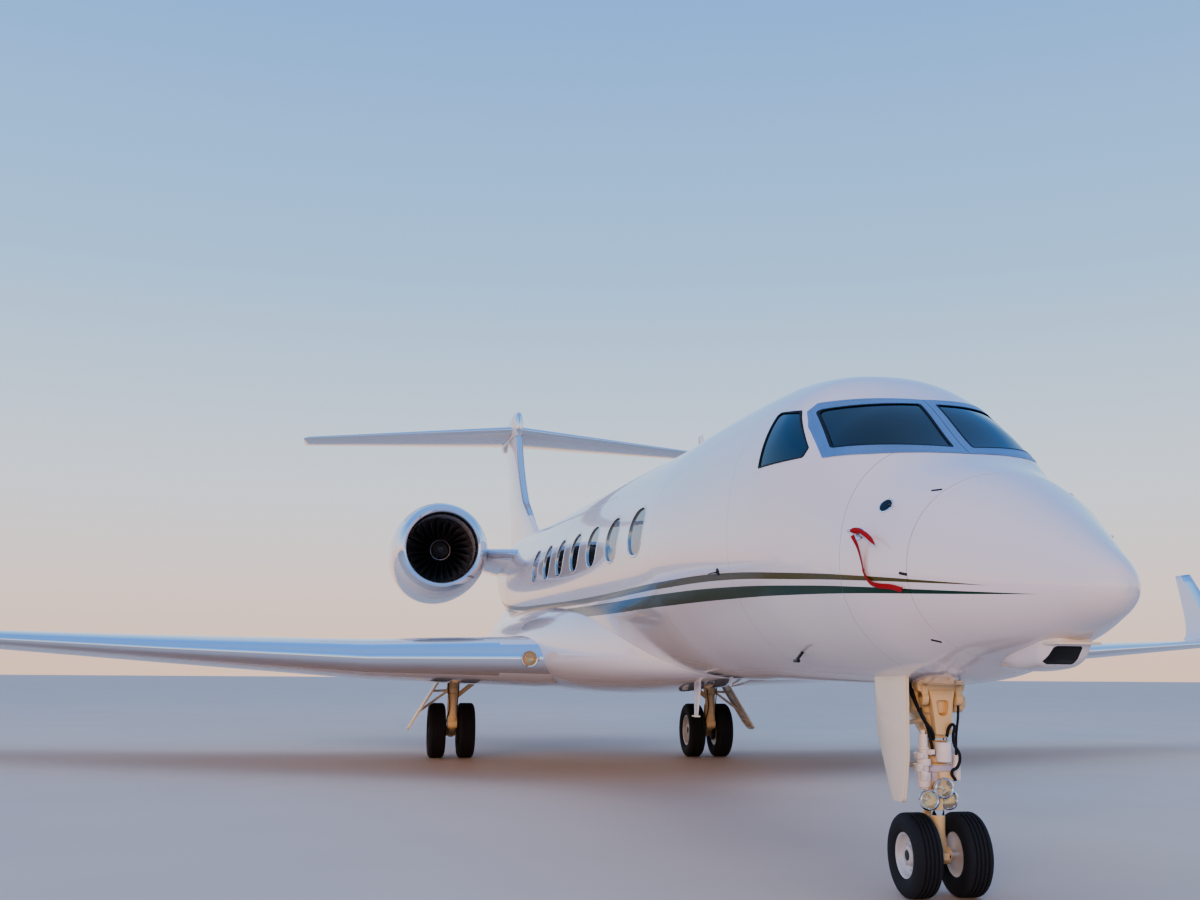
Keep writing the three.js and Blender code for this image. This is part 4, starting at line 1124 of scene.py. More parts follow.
def addPylon(side, sign):
    first, last = pylon[0][0], pylon[-1][0]

    def place(u, v):
        x = first + (last - first) * v
        leading, trailing, height, thickness = pylonAt(x)
        t, above = foilPoint(u, thickness)
        chord = trailing - leading
        return at(sign * x, leading + chord * t, height + chord * above)

    arm = closeUp(wrapped(foilSides, 20, place))
    source = copied(arm)
    outside = [(radius + jet["fit"], s) for radius, s in engine["outside"]]
    ends = [(0, outside[0][1]), *outside, (0, outside[-1][1])]
    cut(arm, turned(ends, at(sign * engine["x"], 0, engine["z"])), hullSolid(15, 25, 40, jet["fit"]))
    shadeFrom(arm, source)
    finished(arm, f"pylon_skin_{side}", "white", [f"pylon_{side}"])
    brighten(arm, lambda p: pylonAt(min(last, max(first, abs(p.x))))[0], 0.16)
    bpy.data.objects.remove(source)


def hullShare(x, station, height):  # 1 on the hull's skin, less inside it
    halfWidth, crown, keel, waist, power = hullAt(station)
    reach = crown - waist if height > waist else waist - keel
    power = power if height > waist else 2
    return (abs(x) / halfWidth) ** power + (abs(height - waist) / reach) ** power


def sideOf(station, height):  # how far out the hull is at a station and height
    halfWidth, crown, keel, waist, power = hullAt(station)
    reach = crown - waist if height > waist else waist - keel
    power = power if height > waist else 2
    return halfWidth * max(0.0, 1 - (abs(height - waist) / reach) ** power) ** (1 / power)


def frontOf(x, height):  # the station at which the hull first reaches a point of the front view
    low, high = 0.3, 5.0
    for _ in range(40):
        middle = (low + high) / 2
        low, high = (low, middle) if hullShare(x, middle, height) < 1 else (middle, high)
    return low


def hullNormal(point):  # points outwards from the hull's skin
    here = (point[0], point[1] + jet["length"] / 2, point[2])
    slope = []
    for axis in range(3):
        ahead, behind = list(here), list(here)
        ahead[axis] += 0.001
        behind[axis] -= 0.001
        slope.append(hullShare(*ahead) - hullShare(*behind))
    return Vector(slope).normalized()


def onHull(station, height, sign, out=0.0):  # a place on the skin whose Z points out and whose Y points aft
    point = at(sign * sideOf(station, height), station, height)
    normal = hullNormal(point)
    aft = (Vector((0, 1, 0)) - normal * normal.y).normalized()
    frameOf = Matrix((aft.cross(normal), aft, normal)).transposed().to_4x4()
    return Matrix.Translation(point + normal * out) @ frameOf


# The cockpit's glazing: a riveted metal frame with a split centre post, curved panes and rubber seals
cockpit = {
    "rivetGap": 0.034, "rivetSize": 0.0042, "rivetInset": 0.016, "rivetStand": 0.0035, "postSeam": 0.0035,
    "frameDepth": 0.035, "sealDepth": 0.024, "paneDepth": 0.012, "paneBelow": -0.005,
}


def glazingPatch(grow, thick):
    patch = hullSheet(1.35, 3.3, 66, grow, arc=(-1.95, 1.95), around=110)
    source = copied(patch)
    modified(patch, "SOLIDIFY", thickness=thick, offset=-1)
    return patch, source


def rivetSpots():  # round the metal frame and round each pane, both sides
    spots = []
    for points, way, nearest in ((glazing["frame"], -1, -0.05), (glazing["pane"], 1, -0.02)):
        ring = spread(points, way * cockpit["rivetInset"])
        for start, end in zip(ring, ring[1:] + ring[:1]):
            count = max(1, round((end - start).length / cockpit["rivetGap"]))
            row = (start.lerp(end, i / count) for i in range(count))
            spots += [(x, z) for x, z in row if x < nearest]
    return [(-sign * x, z) for sign in sides.values() for x, z in spots]


def addGlazing():
    outer, source = glazingPatch(glazing["stand"], cockpit["frameDepth"])
    kept(outer, frameTool())
    for sign in sides.values():
        cut(outer, frontTool(glazing["pane"], sign, glazing["corner"]))
    seam = cockpit["postSeam"] / 2
    cut(outer, frontTool(rectangle(-seam, seam, 2.7, 3.4)))
    shadeFrom(outer, source)
    finished(outer, "windshield_surround", "frame", ["windshield_frame"])

    sealPatch, sealSource = glazingPatch(glazing["stand"] - 0.001, cockpit["sealDepth"])
    panePatch, paneSource = glazingPatch(cockpit["paneBelow"], cockpit["paneDepth"])
    seals = []
    kinds = {
        "windshield": (frontTool, glazing["pane"], glazing["corner"]),
        "side_window": (sideTool, glazing["side"], glazing["sideCorner"]),
    }
    for side, sign in sides.items():
        for label, (tool, points, corner) in kinds.items():
            seal = kept(copied(sealPatch), tool(spread(points, -0.001), sign, corner))
            seals.append(cut(seal, tool(spread(points, -glazing["seal"]), sign, corner)))
            pane = kept(copied(panePatch), tool(spread(points, -0.004), sign, corner))
            shadeFrom(pane, paneSource)
            finished(pane, f"{label}_pane_{side}", "glass", [f"{label}_{side}"])
    finished(shadeFrom(joined(*seals), sealSource), "cockpit_window_seals", "seal")

    ball = bpy.ops.mesh.primitive_uv_sphere_add
    stamp = fresh(ball, segments=8, ring_count=6, radius=cockpit["rivetSize"])
    with editing(stamp):
        bpy.ops.mesh.bisect(plane_co=(0, 0, 0), plane_no=(0, 0, 1), clear_inner=True, use_fill=True)
        bpy.ops.mesh.select_all(action="SELECT")
        bpy.ops.transform.resize(value=(1, 1, 0.45))
    dressed(stamped(stamp, [rivetPlace(*spot) for spot in rivetSpots()]), "windshield_rivets", "frame")
    for old in (source, sealPatch, sealSource, panePatch, paneSource):
        bpy.data.objects.remove(old)
    print("glazing made")


def rivetPlace(x, z):
    point = at(x, frontOf(x, z), z)
    normal = hullNormal(point)
    spot = Matrix.Translation(point + normal * cockpit["rivetStand"])
    return spot @ normal.to_track_quat("Z", "Y").to_matrix().to_4x4()


# Cabin windows: a polished rim, a curved pane set in, and a liner with a shade behind it
cabinWindow = {  # sections are (outwards in the skin, off the skin); closed windows have a shade drawn
    "rim": [
        (-0.012, -0.040), (-0.012, 0.0005), (-0.006, 0.0035), (0.010, 0.0035), (0.016, 0.0005),
        (0.014, -0.004), (-0.004, -0.040),
    ],
    "liner": [
        (-0.014, -0.030), (-0.060, -0.085), (-0.075, -0.085), (-0.075, -0.100), (0.020, -0.100),
        (0.0, -0.046),
    ],
    "pane": (-0.010, -0.016, 0.006), "shade": (-0.045, -0.070, 0.008),
    "closed": {"right": (0, 1), "left": (4,)},
}


def windowPoint(number, turn, grow, out):  # a point of a window's outline, moved out along and off the skin
    station, up = windowEdge(number, turn, grow)
    return station, up, sideOf(station, up) + out


def windowRing(number, sign, section):
    loop = closed(section)

    def place(u, v):
        grow, out = loop[round(v * (len(loop) - 1))]
        station, up, x = windowPoint(number, -sign * 2 * math.pi * u, grow, out)
        return at(sign * x, station, up)

    return closeUp(wrapped(48, len(loop) - 1, place))


def windowDisc(number, sign, grow, out, thick):  # a curved disc that fills the outline
    def place(u, v):
        edge = windowPoint(number, -sign * 2 * math.pi * u, grow, out)
        middle = window["first"] + number * window["pitch"]
        station = middle + (edge[0] - middle) * v
        height = tubeAxis(middle) + window["rise"]
        up = height + (edge[1] - height) * v
        return at(sign * (sideOf(station, up) + out), station, up)

    disc = wrapped(48, 6, place)
    with editing(disc):
        bpy.ops.mesh.remove_doubles(threshold=jet["merge"])
    return modified(disc, "SOLIDIFY", thickness=thick, offset=-1)


def addCabinWindows():
    numbers = range(window["count"])
    for side, sign in sides.items():
        rims = [windowRing(n, sign, cabinWindow["rim"]) for n in numbers]
        dressed(rims, f"cabin_window_rims_{side}", "rim", angle=50)
        panes = [windowDisc(n, sign, *cabinWindow["pane"]) for n in numbers]
        dressed(panes, f"cabin_panes_{side}", "cabinGlass", [f"cabin_windows_{side}"])
        liners = [windowRing(n, sign, cabinWindow["liner"]) for n in numbers]
        dressed(liners, f"cabin_window_liners_{side}", "shade", angle=50)
        shades = [windowDisc(n, sign, *cabinWindow["shade"]) for n in cabinWindow["closed"][side]]
        dressed(shades, f"cabin_shades_{side}", "shade")
    print("cabin windows made")


# The airstair door: a skin that follows the hull, an inner liner, five treads and two hinge arms
stairs = {
    "count": 5, "tread": 0.235, "lean": 50, "side": 0.120, "first": 0.17, "spare": 0.26, "foot": 0.055,
    "hinge": (0.845, 1.690), "arms": (4.07, 4.59), "pin": 0.016,
    "linerInset": -0.05, "linerDepth": 0.030, "handle": (4.36, 2.36),
}


def hingeHalf(station, width, low, high):  # a knuckle of the sill's hinge and its arm
    x, z = stairs["hinge"]
    y = along(station)
    knuckle = rod((x, y, z), (x, y + width, z), stairs["pin"], edge=0.1)
    return [knuckle, box((x + low[0], y, z + low[1]), (x + high[0], y + width, z + high[1]))]


def addDoor():
    panel, source = hullShell(3.6, 5.1, 40)
    kept(panel, sideTool(doorOutline(), 1, door["corner"]))
    finished(shadeFrom(panel, source), "door_skin", "hull", ["airstair_door"], body="airstair_door")
    bpy.data.objects.remove(source)
    liner = hullSheet(3.6, 5.1, 30, -0.046, arc=(0.4, 2.4), around=60)
    modified(liner, "SOLIDIFY", thickness=stairs["linerDepth"], offset=-1)
    kept(liner, sideTool(doorOutline(stairs["linerInset"]), 1, door["corner"]))
    dressed(liner, "door_liner", "shade", body="airstair_door", slot="gloss_white")

    steps, brackets = [], []
    pitch = (door["head"] - door["sill"] - stairs["spare"]) / stairs["count"]
    front, back = along(door["start"] + stairs["side"]), along(door["end"] - stairs["side"])
    for i in range(stairs["count"]):
        height = door["sill"] + stairs["first"] + i * pitch
        root = min(sideOf(4.2, height), sideOf(4.2, height + 0.05)) - stairs["foot"]
        lean = Matrix.Translation((root, 0, height)) @ Matrix.Rotation(math.radians(stairs["lean"]), 4, "Y")
        tread = box((-stairs["tread"], front, -0.014), (0, back, 0.014), 0.006)
        grip = box((-stairs["tread"] + 0.015, front + 0.02, -0.0175), (-0.040, back - 0.02, -0.012), 0.002)
        steps += [seated(tread, lean), seated(grip, lean)]
    for station in stairs["arms"]:
        steps += hingeHalf(station, 0.05, (-0.075, 0.011), (0.010, 0.045))
        brackets += hingeHalf(station + 0.0505, 0.045, (-0.10, -0.050), (0.008, -0.012))
    dressed(steps, "door_steps", "dark", body="airstair_door")
    dressed(brackets, "door_brackets", "dark")
    handle = [
        box((-0.035, -0.13, -0.006), (0.035, 0.13, 0.0015), 0.003),
        box((-0.012, -0.10, -0.004), (0.012, 0.10, 0.005), 0.003),
    ]
    grasp = seated(joined(*handle), onHull(*stairs["handle"], 1, 0.001))
    dressed(grasp, "door_handle", "polished", body="airstair_door")
    print("door made")


# Crew seats, each a padded cushion, back and headrest on a metal base
crewSeat = {
    "x": 0.48, "floor": 1.687, "roundness": 3.4,
    "pads": {  # half width, stations of the front and back, heights above the floor
        "cushion": (0.235, 2.76, 3.24, 0.30, 0.43), "back": (0.230, 3.195, 3.315, 0.43, 0.99),
        "headrest": (0.125, 3.205, 3.295, 1.00, 1.175),
    },
    "base": [(0.12, 2.90, 3.20, 0.02, 0.29), (0.20, 2.80, 3.24, 0.27, 0.305)],
    "post": (0.06, 3.26, 0.96, 1.04),
    "screens": (-0.60, -0.20, 0.20, 0.60),
}


def cushion(low, high, cuts=12):
    obj = fresh(bpy.ops.mesh.primitive_cube_add, size=2)
    with editing(obj):
        bpy.ops.mesh.subdivide(number_cuts=cuts)
    half, middle = (high - low) / 2, (high + low) / 2
    power = crewSeat["roundness"]
    for vertex in obj.data.vertices:
        size = sum(abs(c) ** power for c in vertex.co) ** (1 / power)
        vertex.co = middle + vertex.co / size * half
    return smooth(obj, 60)


def seatCorners(x, row):
    half, front, back, low, high = row
    floor = crewSeat["floor"]
    return at(x - half, front, floor + low), at(x + half, back, floor + high)


def addCockpit():
    for side, sign in sides.items():
        x = sign * crewSeat["x"]
        for label, row in crewSeat["pads"].items():
            pad = cushion(*seatCorners(x, row))
            stands = [f"pilot_seat_{side}"] if label == "cushion" else ()
            finished(pad, f"seat_{label}_{side}", "leather", stands)
        base = [box(*seatCorners(x, row), 0.01) for row in crewSeat["base"]]
        apart, station, low, high = crewSeat["post"]
        for post in (x - apart, x + apart):
            foot = at(post, station, crewSeat["floor"])
            base.append(rod(foot + Vector((0, 0, low)), foot + Vector((0, 0, high)), 0.008))
        dressed(base, f"seat_base_{side}", "dark")
    for node, finish in (("cabin_floor", "carpet"), ("cockpit_console", "console")):
        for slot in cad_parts[node].material_slots:
            slot.material = finishes[finish]
    screens = [box(at(x - 0.17, 2.442, 2.33), at(x + 0.17, 2.456, 2.51), 0.006) for x in crewSeat["screens"]]
    dressed(screens, "cockpit_screens", "black", slot="glazing")
    print("cockpit made")


# The sensor housing under the nose. Columns: station, half width, lowest point, top.
chin = {
    "rows": [
        (0.445, 0.085, 1.512, 1.60), (0.50, 0.120, 1.470, 1.66), (0.60, 0.148, 1.448, 1.70),
        (0.85, 0.150, 1.436, 1.72), (1.10, 0.118, 1.440, 1.70), (1.24, 0.060, 1.462, 1.66),
        (1.288, 0.012, 1.490, 1.62),
    ],
    "front": 0.455, "power": 3.2, "rake": 0.75, "rakeBelow": 1.64,
    "pane": [(-0.112, 1.480), (0.030, 1.480), (0.040, 1.562), (-0.096, 1.562)],
    "paneCorner": 0.014, "paneFrom": 0.30, "paneReach": 0.33,
    "brow": [(-0.140, 1.576), (0.110, 1.576), (0.110, 1.590), (-0.140, 1.590)], "browSpan": (0.425, 0.62),
    "window": {  # spread of the outline, stand off the housing, finish, slot
        "chin_window_seal": (0.010, 0.0012, "seal", "tyre_rubber"),
        "chin_window": (0.0, 0.0024, "black", "glazing"),
    },
}
chinAt = smoothTable(chin["rows"])


def chinPlace(u, v):
    first, last = chin["rows"][0][0], chin["rows"][-1][0]
    station = chin["front"] + (last - chin["front"]) * v**1.2
    halfWidth, low, high = chinAt(max(first, station))
    middle = (low + high) / 2
    z = middle + (high - middle) * bulge(math.cos(2 * math.pi * u), chin["power"])
    rake = chin["rake"] * max(0.0, chin["rakeBelow"] - z) * (1 - v) ** 1.5
    return at(halfWidth * bulge(math.sin(2 * math.pi * u), chin["power"]), station + rake, z)


def addChin():
    pod = closeUp(wrapped(56, 36, chinPlace))
    source = copied(pod)
    for name, (grow, stand, finish, slot) in chin["window"].items():
        patch = modified(copied(pod), "DISPLACE", strength=stand, mid_level=0)
        outline = [at(p.x, chin["paneFrom"], p.y) for p in spread(chin["pane"], grow)]
        kept(patch, pushed(outlined(outline, chin["paneCorner"]), (0, chin["paneReach"], 0)))
        finished(shadeFrom(patch, source), name, finish, slot=slot)
    cut(pod, hullSolid(0.1, 2.5, 40, jet["fit"]))
    finished(shadeFrom(pod, source), "chin_housing", "white", ["chin_sensor"])
    bpy.data.objects.remove(source)
    front, back = (along(station) for station in chin["browSpan"])
    # the visor takes the door paint, whose peach tint is painted low-sun light
    dressed(faced(chin["brow"], front, back, 0.005, 0.004), "chin_visor", "sunlit_cream")
    print("chin sensor made")


# Probes, sensors, latches, antennas and lamps on the skin. Places are (station, height).
fittings = {
    "sensor": (1.422, 2.418), "pitot": (1.559, 2.255), "vane": (3.737, 2.181), "airProbe": (2.976, 1.565),
    "pitotReach": {"right": 0.085, "left": 0.215},  # the cover hides the right-hand one's end
    "latches": [(1.172, 2.486, -32), (1.155, 1.987, 12), (1.192, 1.606, 38)],
    "latchRibs": (-0.030, -0.009, 0.012),
    "aerials": [  # station, up or down, height, chord
        (7.85, 1, 0.29, 0.34), (10.6, 1, 0.11, 0.16), (8.15, -1, 0.36, 0.30), (6.9, -1, 0.10, 0.14),
    ],
    "footed": 2, "aerialSweep": 0.45, "sunk": 0.012,
    "lampX": 1.57, "lampAhead": 0.065,
}
discs = {  # profiles of (radius, height off the skin)
    "ring": [(0.052, -0.002), (0.052, 0.003), (0.046, 0.006), (0.043, 0.004), (0.043, -0.002)],
    "sensor": [(0.0, 0.004), (0.030, 0.004), (0.043, 0.002), (0.043, -0.004), (0.0, -0.004)],
    "flange": [(0.0, 0.006), (0.036, 0.006), (0.042, 0.002), (0.042, -0.003), (0.0, -0.003)],
    "foot": [(0.0, 0.012), (0.020, 0.010), (0.030, 0.002), (0.030, -0.003), (0.0, -0.003)],
}
landingLamp = {  # piece: finish, the angle from which an edge is sharp, closed profile of (radius, distance)
    "lamp": ("gold", 32, [
        (0.0, 0.050), (0.045, 0.040), (0.080, 0.012), (0.094, -0.020), (0.100, -0.022), (0.100, 0.140),
        (0.0, 0.140),
    ]),
    "ring": ("polished", 50, [
        (0.092, -0.026), (0.104, -0.028), (0.106, -0.010), (0.104, 0.080), (0.092, 0.080),
    ]),
    "lens": ("lens", 50, [
        (0.0, -0.042), (0.050, -0.038), (0.092, -0.024), (0.092, -0.018), (0.050, -0.032), (0.0, -0.036),
    ]),
}


def aerialFoot(station, up):  # the height of the skin, a little inside it
    crown, keel = hullAt(station)[1:3]
    if up > 0:
        return crown - fittings["sunk"]
    onFairing = station > fairing["rows"][0][0]
    return (min(keel, fairingAt(station)[1]) if onFairing else keel) + fittings["sunk"]


def aerialBlade(station, up, height, chord):  # a swept blade aerial on the crown or keel
    foot = aerialFoot(station, up)

    def place(u, v):
        t, above = foilPoint(u, 0.09)
        size = chord * (1 - fittings["aerialSweep"] * v)
        lead = along(station) + fittings["aerialSweep"] * chord * v
        return Vector((above * size, lead + size * t, foot + up * height * v))

    return closeUp(wrapped(foilSides, 6, place))


def probeParts(side):  # in the frame of onHull: Y aft, Z off the skin
    reach = fittings["pitotReach"][side]
    return {
        "sensor_ring": ("sensor", "polished", [turned(closed(discs["ring"]), axis="z", steps=40)]),
        "sensor_disc": ("sensor", "black", [
            turned(discs["sensor"], axis="z", steps=40),
            rod((0, -0.035, 0.010), (0, -0.075, 0.030), 0.007, 0.005),
        ]),
        "pitot": ("pitot", "polished", [
            turned(discs["flange"], axis="z", steps=40),
            rod((0, 0.010, 0), (0, -0.015, 0.075), 0.020, 0.014),
            rod((0, 0.010, 0.078), (0, -reach, 0.076), 0.011, 0.009),
        ]),
        "flow_vane": ("vane", "black", [
            turned(discs["foot"], axis="z", steps=32),
            box((-0.004, -0.010, 0.004), (0.004, 0.075, 0.060), 0.003),
        ]),
        "air_probe": ("airProbe", "black", [
            box((-0.008, -0.020, -0.004), (0.008, 0.020, 0.075), 0.005),
            rod((0, -0.050, 0.078), (0, 0.040, 0.078), 0.013, 0.011),
        ]),
    }


def latch(station, height, tilt, sign):
    parts = [box((-0.008, -0.034, -0.004), (0.008, 0.034, 0.0012), 0.001)]
    for start in fittings["latchRibs"]:
        parts.append(box((-0.006, start, 0.0008), (0.006, start + 0.017, 0.0022), 0.0007))
    place = onHull(station, height, sign) @ Matrix.Rotation(math.radians(sign * tilt), 4, "Z")
    return seated(joined(*parts), place)


def addFittings():
    for side, sign in sides.items():
        for label, (spot, finish, parts) in probeParts(side).items():
            dressed(seated(joined(*parts), onHull(*fittings[spot], sign)), f"{label}_{side}", finish)
        dressed([latch(*row, sign) for row in fittings["latches"]], f"hatch_latches_{side}", "black")

    for number, row in enumerate(fittings["aerials"]):
        dressed(aerialBlade(*row), f"aerial_{number}", "white", angle=50)
    station, up, height, chord = fittings["aerials"][fittings["footed"]]
    low = aerialFoot(station, up) - height
    start, end = station + fittings["aerialSweep"] * chord, station + chord * 1.02
    dressed(box(at(-0.030, start, low - 0.012), at(0.030, end, low + 0.006), 0.006), "aerial_foot", "white")

    for side, sign in sides.items():
        x = fittings["lampX"]
        centre = at(sign * x, wingLeading(x) - fittings["lampAhead"], wingAt(x)[0])
        for label, (finish, angle, profile) in landingLamp.items():
            dressed(turned(closed(profile), centre, steps=48), f"landing_{label}_{side}", finish, angle=angle)
        x, station, height = wing["winglet"][0][:3]
        end = at(sign * x, station + 0.09, height + 0.004)
        back, front = Vector((-sign * 0.05, -0.045, -0.012)), Vector((sign * 0.10, 0.04, 0.07))
        cap = rod(end + back, end + front, 0.030, 0.024)
        dressed(cap, f"position_light_{side}", "redLens" if side == "left" else "greenLens")
    print("fittings made")


def through(points, count):  # a smooth path through the points
    ends = [points[0] * 2 - points[1], *points, points[-1] * 2 - points[-2]]
    path = []
    for i in range(count + 1):
        share = i / count * (len(points) - 1)
        k = min(int(share), len(points) - 2)
        a, b, c, d = ends[k:k + 4]
        t = share - k
        bend, turn = a * 2 - b * 5 + c * 4 - d, b * 3 - a - c * 3 + d
        path.append((b * 2 + (c - a) * t + bend * t * t + turn * t**3) / 2)
    return path


cover = {
    "droop": 0.090, "length": 0.235, "radius": 0.018,
    "strap": [  # station, height, distance off the skin
        (1.520, 2.242, 0.070), (1.500, 2.175, 0.040), (1.487, 2.090, 0.018), (1.470, 2.010, 0.012),
        (1.425, 1.955, 0.012), (1.350, 1.930, 0.016), (1.255, 1.918, 0.012), (1.157, 1.894, 0.022),
    ],
    "width": 0.030, "thickness": 0.002,
}


def addCover():  # the red cloth cover on the right pitot, gone limp past the tube's end, and its long strap
    sign = sides["right"]
    place = onHull(*fittings["pitot"], sign)

    def around(u, v):
        angle = 2 * math.pi * u
        limp = max(0.0, v - 0.25)
        crease = 0.10 * math.sin(11 * v) * math.sin(2 * angle + 4 * v)
        radius = cover["radius"] * (1 - 0.25 * v) * (1 + crease)
        radius *= math.sin(math.pi * min(1.0, 4 * min(v + 0.06, 1 - v)) / 2) ** 0.6 if v < 1 else 0.0
        across = Vector((math.cos(angle), 0, math.sin(angle) * (1 - 0.35 * limp)))
        fall = cover["droop"] * (limp / 0.75) ** 1.5
        lead = Vector((-fall, -0.02 - cover["length"] * v, 0.078 - 0.020 * v))
        return place @ (lead + across * radius)

    cloth = closeUp(wrapped(24, 30, around))
    dressed(cloth, "pitot_cover", "redCloth", angle=60)

    spots = []
    for station, height, out in cover["strap"]:
        spots.append(at(sign * (sideOf(station, height) + out), station, height))
    path = through(spots, 56)
    length = sum((b - a).length for a, b in zip(path, path[1:]))

    def alongStrap(u, v):
        i = min(len(path) - 2, int(v * (len(path) - 1)))
        spot = path[i].lerp(path[i + 1], v * (len(path) - 1) - i)
        lead = (path[i + 1] - path[i]).normalized()
        normal = hullNormal(spot)
        across = lead.cross(normal).normalized()
        twist = 0.45 * math.sin(4.2 * v)
        across = across * math.cos(twist) + lead.cross(across).normalized() * math.sin(twist)
        return spot + across * (u - 0.5) * cover["width"]

    strap = modified(wrapped(4, 56, alongStrap), "SOLIDIFY", thickness=cover["thickness"], offset=0)
    dressed(strap, "cover_strap", "redCloth", angle=60)
    print("cover made, strap", round(length, 3), "m")


# Wheels and tyres, spun from profiles of (radius, distance across)
wheelKinds = {
    "nose": {
        "radius": 0.2665, "width": 0.184, "rim": 0.140, "spacing": 0.340, "axle": 0.032,
        "bolts": 8, "grooves": 4,
    },
    "main": {
        "radius": 0.4445, "width": 0.279, "rim": 0.245, "spacing": 0.480, "axle": 0.050,
        "bolts": 12, "grooves": 5,
    },
}
wheelShape = {
    "wall": [  # share of the tyre's depth, share of its width
        (0.04, 0.395), (0.15, 0.44), (0.18, 0.452), (0.35, 0.490), (0.5, 0.5), (0.66, 0.492), (0.8, 0.462),
        (0.9, 0.420), (0.955, 0.375), (0.988, 0.33),
    ],
    "bead": 0.34, "treadWidth": 0.60, "grooveDepth": 0.003,
    "back": [(0.0, -0.36), (0.55, -0.36), (0.72, -0.33), (0.96, -0.34)],  # shares of the rim and of the width
    "flange": [
        (0.010, -0.385), (0.012, -0.37), (-0.001, -0.335), (-0.001, 0.335), (0.012, 0.37), (0.010, 0.388),
    ],
    "front": [
        (0.97, 0.385), (0.90, 0.34), (0.86, 0.22), (0.78, 0.16), (0.55, 0.13), (0.46, 0.17), (0.44, 0.26),
        (0.40, 0.285), (0.30, 0.29), (0.0, 0.29),
    ],
    "cap": [(0.0, 0.300), (0.20, 0.298), (0.27, 0.285), (0.28, 0.25), (0.0, 0.25)],
    "boltRing": 0.665, "boltSize": 0.055, "boltFrom": 0.13, "boltTo": 0.205,
}


def tyreProfile(kind):
    radius, width, rim, count = (kind[key] for key in ("radius", "width", "rim", "grooves"))
    wall = [(rim + share * (radius - rim), across * width) for share, across in wheelShape["wall"]]
    half = [(rim - 0.001, wheelShape["bead"] * width), *wall]
    pitch = wheelShape["treadWidth"] * width / count
    deep = radius - 0.045 * (radius - rim) - wheelShape["grooveDepth"]
    tread = []
    for i in range(count):
        middle = (i - (count - 1) / 2) * pitch
        tread += [(radius, middle - 0.0065), (deep, middle - 0.004)]
        tread += [(deep, middle + 0.004), (radius, middle + 0.0065)]
    return [(r, -x) for r, x in half] + tread + list(reversed(half))


def wheelProfile(kind):
    rim = kind["rim"]
    back, front = ([(share * rim, across) for share, across in wheelShape[key]] for key in ("back", "front"))
    flange = [(rim + out, across) for out, across in wheelShape["flange"]]
    return [(radius, across * kind["width"]) for radius, across in back + flange + front]


def addWheels(kindName, prefix, body, centre):
    kind = wheelKinds[kindName]
    rim, width = kind["rim"], kind["width"]
    rims, bolts, caps = [], [], []
    for side, sign in sides.items():
        middle = centre + Vector((sign * kind["spacing"] / 2, 0, 0))
        rims.append(turned([(r, x * sign) for r, x in wheelProfile(kind)], middle, "x", 72))
        cap = [(r * rim, x * width * sign) for r, x in wheelShape["cap"]]
        caps.append(turned(cap, middle, "x", 40))
        base = Vector((sign * wheelShape["boltFrom"] * width, 0, 0))
        tip = Vector((sign * wheelShape["boltTo"] * width, 0, 0))
        for i in range(kind["bolts"]):
            turn = 2 * math.pi * i / kind["bolts"]
            spot = middle + Vector((0, math.cos(turn), math.sin(turn))) * wheelShape["boltRing"] * rim
            bolts.append(rod(spot + base, spot + tip, wheelShape["boltSize"] * rim, sides=6))
        tyre = turned(closed(tyreProfile(kind)), middle, "x", 96)
        dressed(tyre, f"{prefix}_rubber_{side}", "rubber", [f"{prefix}_tyre_{side}"], body=body, angle=40)
    reach = Vector((kind["spacing"] / 2, 0, 0))
    axle = rod(centre - reach, centre + reach, kind["axle"], sides=40)
    dressed(rims, f"{prefix}_rims", "wheel", [f"{prefix}_wheels"], body=body, angle=40)
    dressed([axle, *bolts], f"{prefix}_bolts", "chrome", body=body)
    dressed(caps, f"{prefix}_hub_caps", "dark", body=body)


def pipe(points, radius):  # a rigid pipe along a smooth path
    curve = bpy.data.curves.new("pipe", "CURVE")
    curve.dimensions = "3D"
    curve.bevel_depth = radius
    curve.bevel_resolution = 3
    curve.use_fill_caps = True
    spline = curve.splines.new("BEZIER")
    spline.bezier_points.add(len(points) - 1)
    for knot, point in zip(spline.bezier_points, points):
        knot.co = point
        knot.handle_left_type = knot.handle_right_type = "AUTO"
    take(linked("pipe", curve))
    bpy.ops.object.convert(target="MESH")
    return bpy.context.object


def plate(points, low, high, edge=0.004, corner=0.02):  # an (y, z) outline between two places along x
    obj = pushed(outlined([(low, y, z) for y, z in points], corner), (high - low, 0, 0))
    return modified(obj, "BEVEL", width=edge, segments=2, limit_method="ANGLE")


def faced(points, front, back, edge=0.004, corner=0.012):  # an (x, z) outline between two places along y
    obj = pushed(outlined([(x, front, z) for x, z in points], corner), (0, back - front, 0))
    return modified(obj, "BEVEL", width=edge, segments=2, limit_method="ANGLE")


def rods(rows, origin, sides=28):  # from rows of (start, end, radius), some with their own number of sides
    made = []
    for start, end, radius, *own in rows:
        made.append(rod(origin + Vector(start), origin + Vector(end), radius, sides=own[0] if own else sides))
    return made


def boxes(rows, origin):  # from rows of (low corner, high corner, edge), around a place
    return [box(origin + Vector(low), origin + Vector(high), edge) for low, high, edge in rows]


def pipes(routes, origin):  # from rows of (radius, points), around a place
    return [pipe([origin + Vector(point) for point in points], radius) for radius, points in routes]


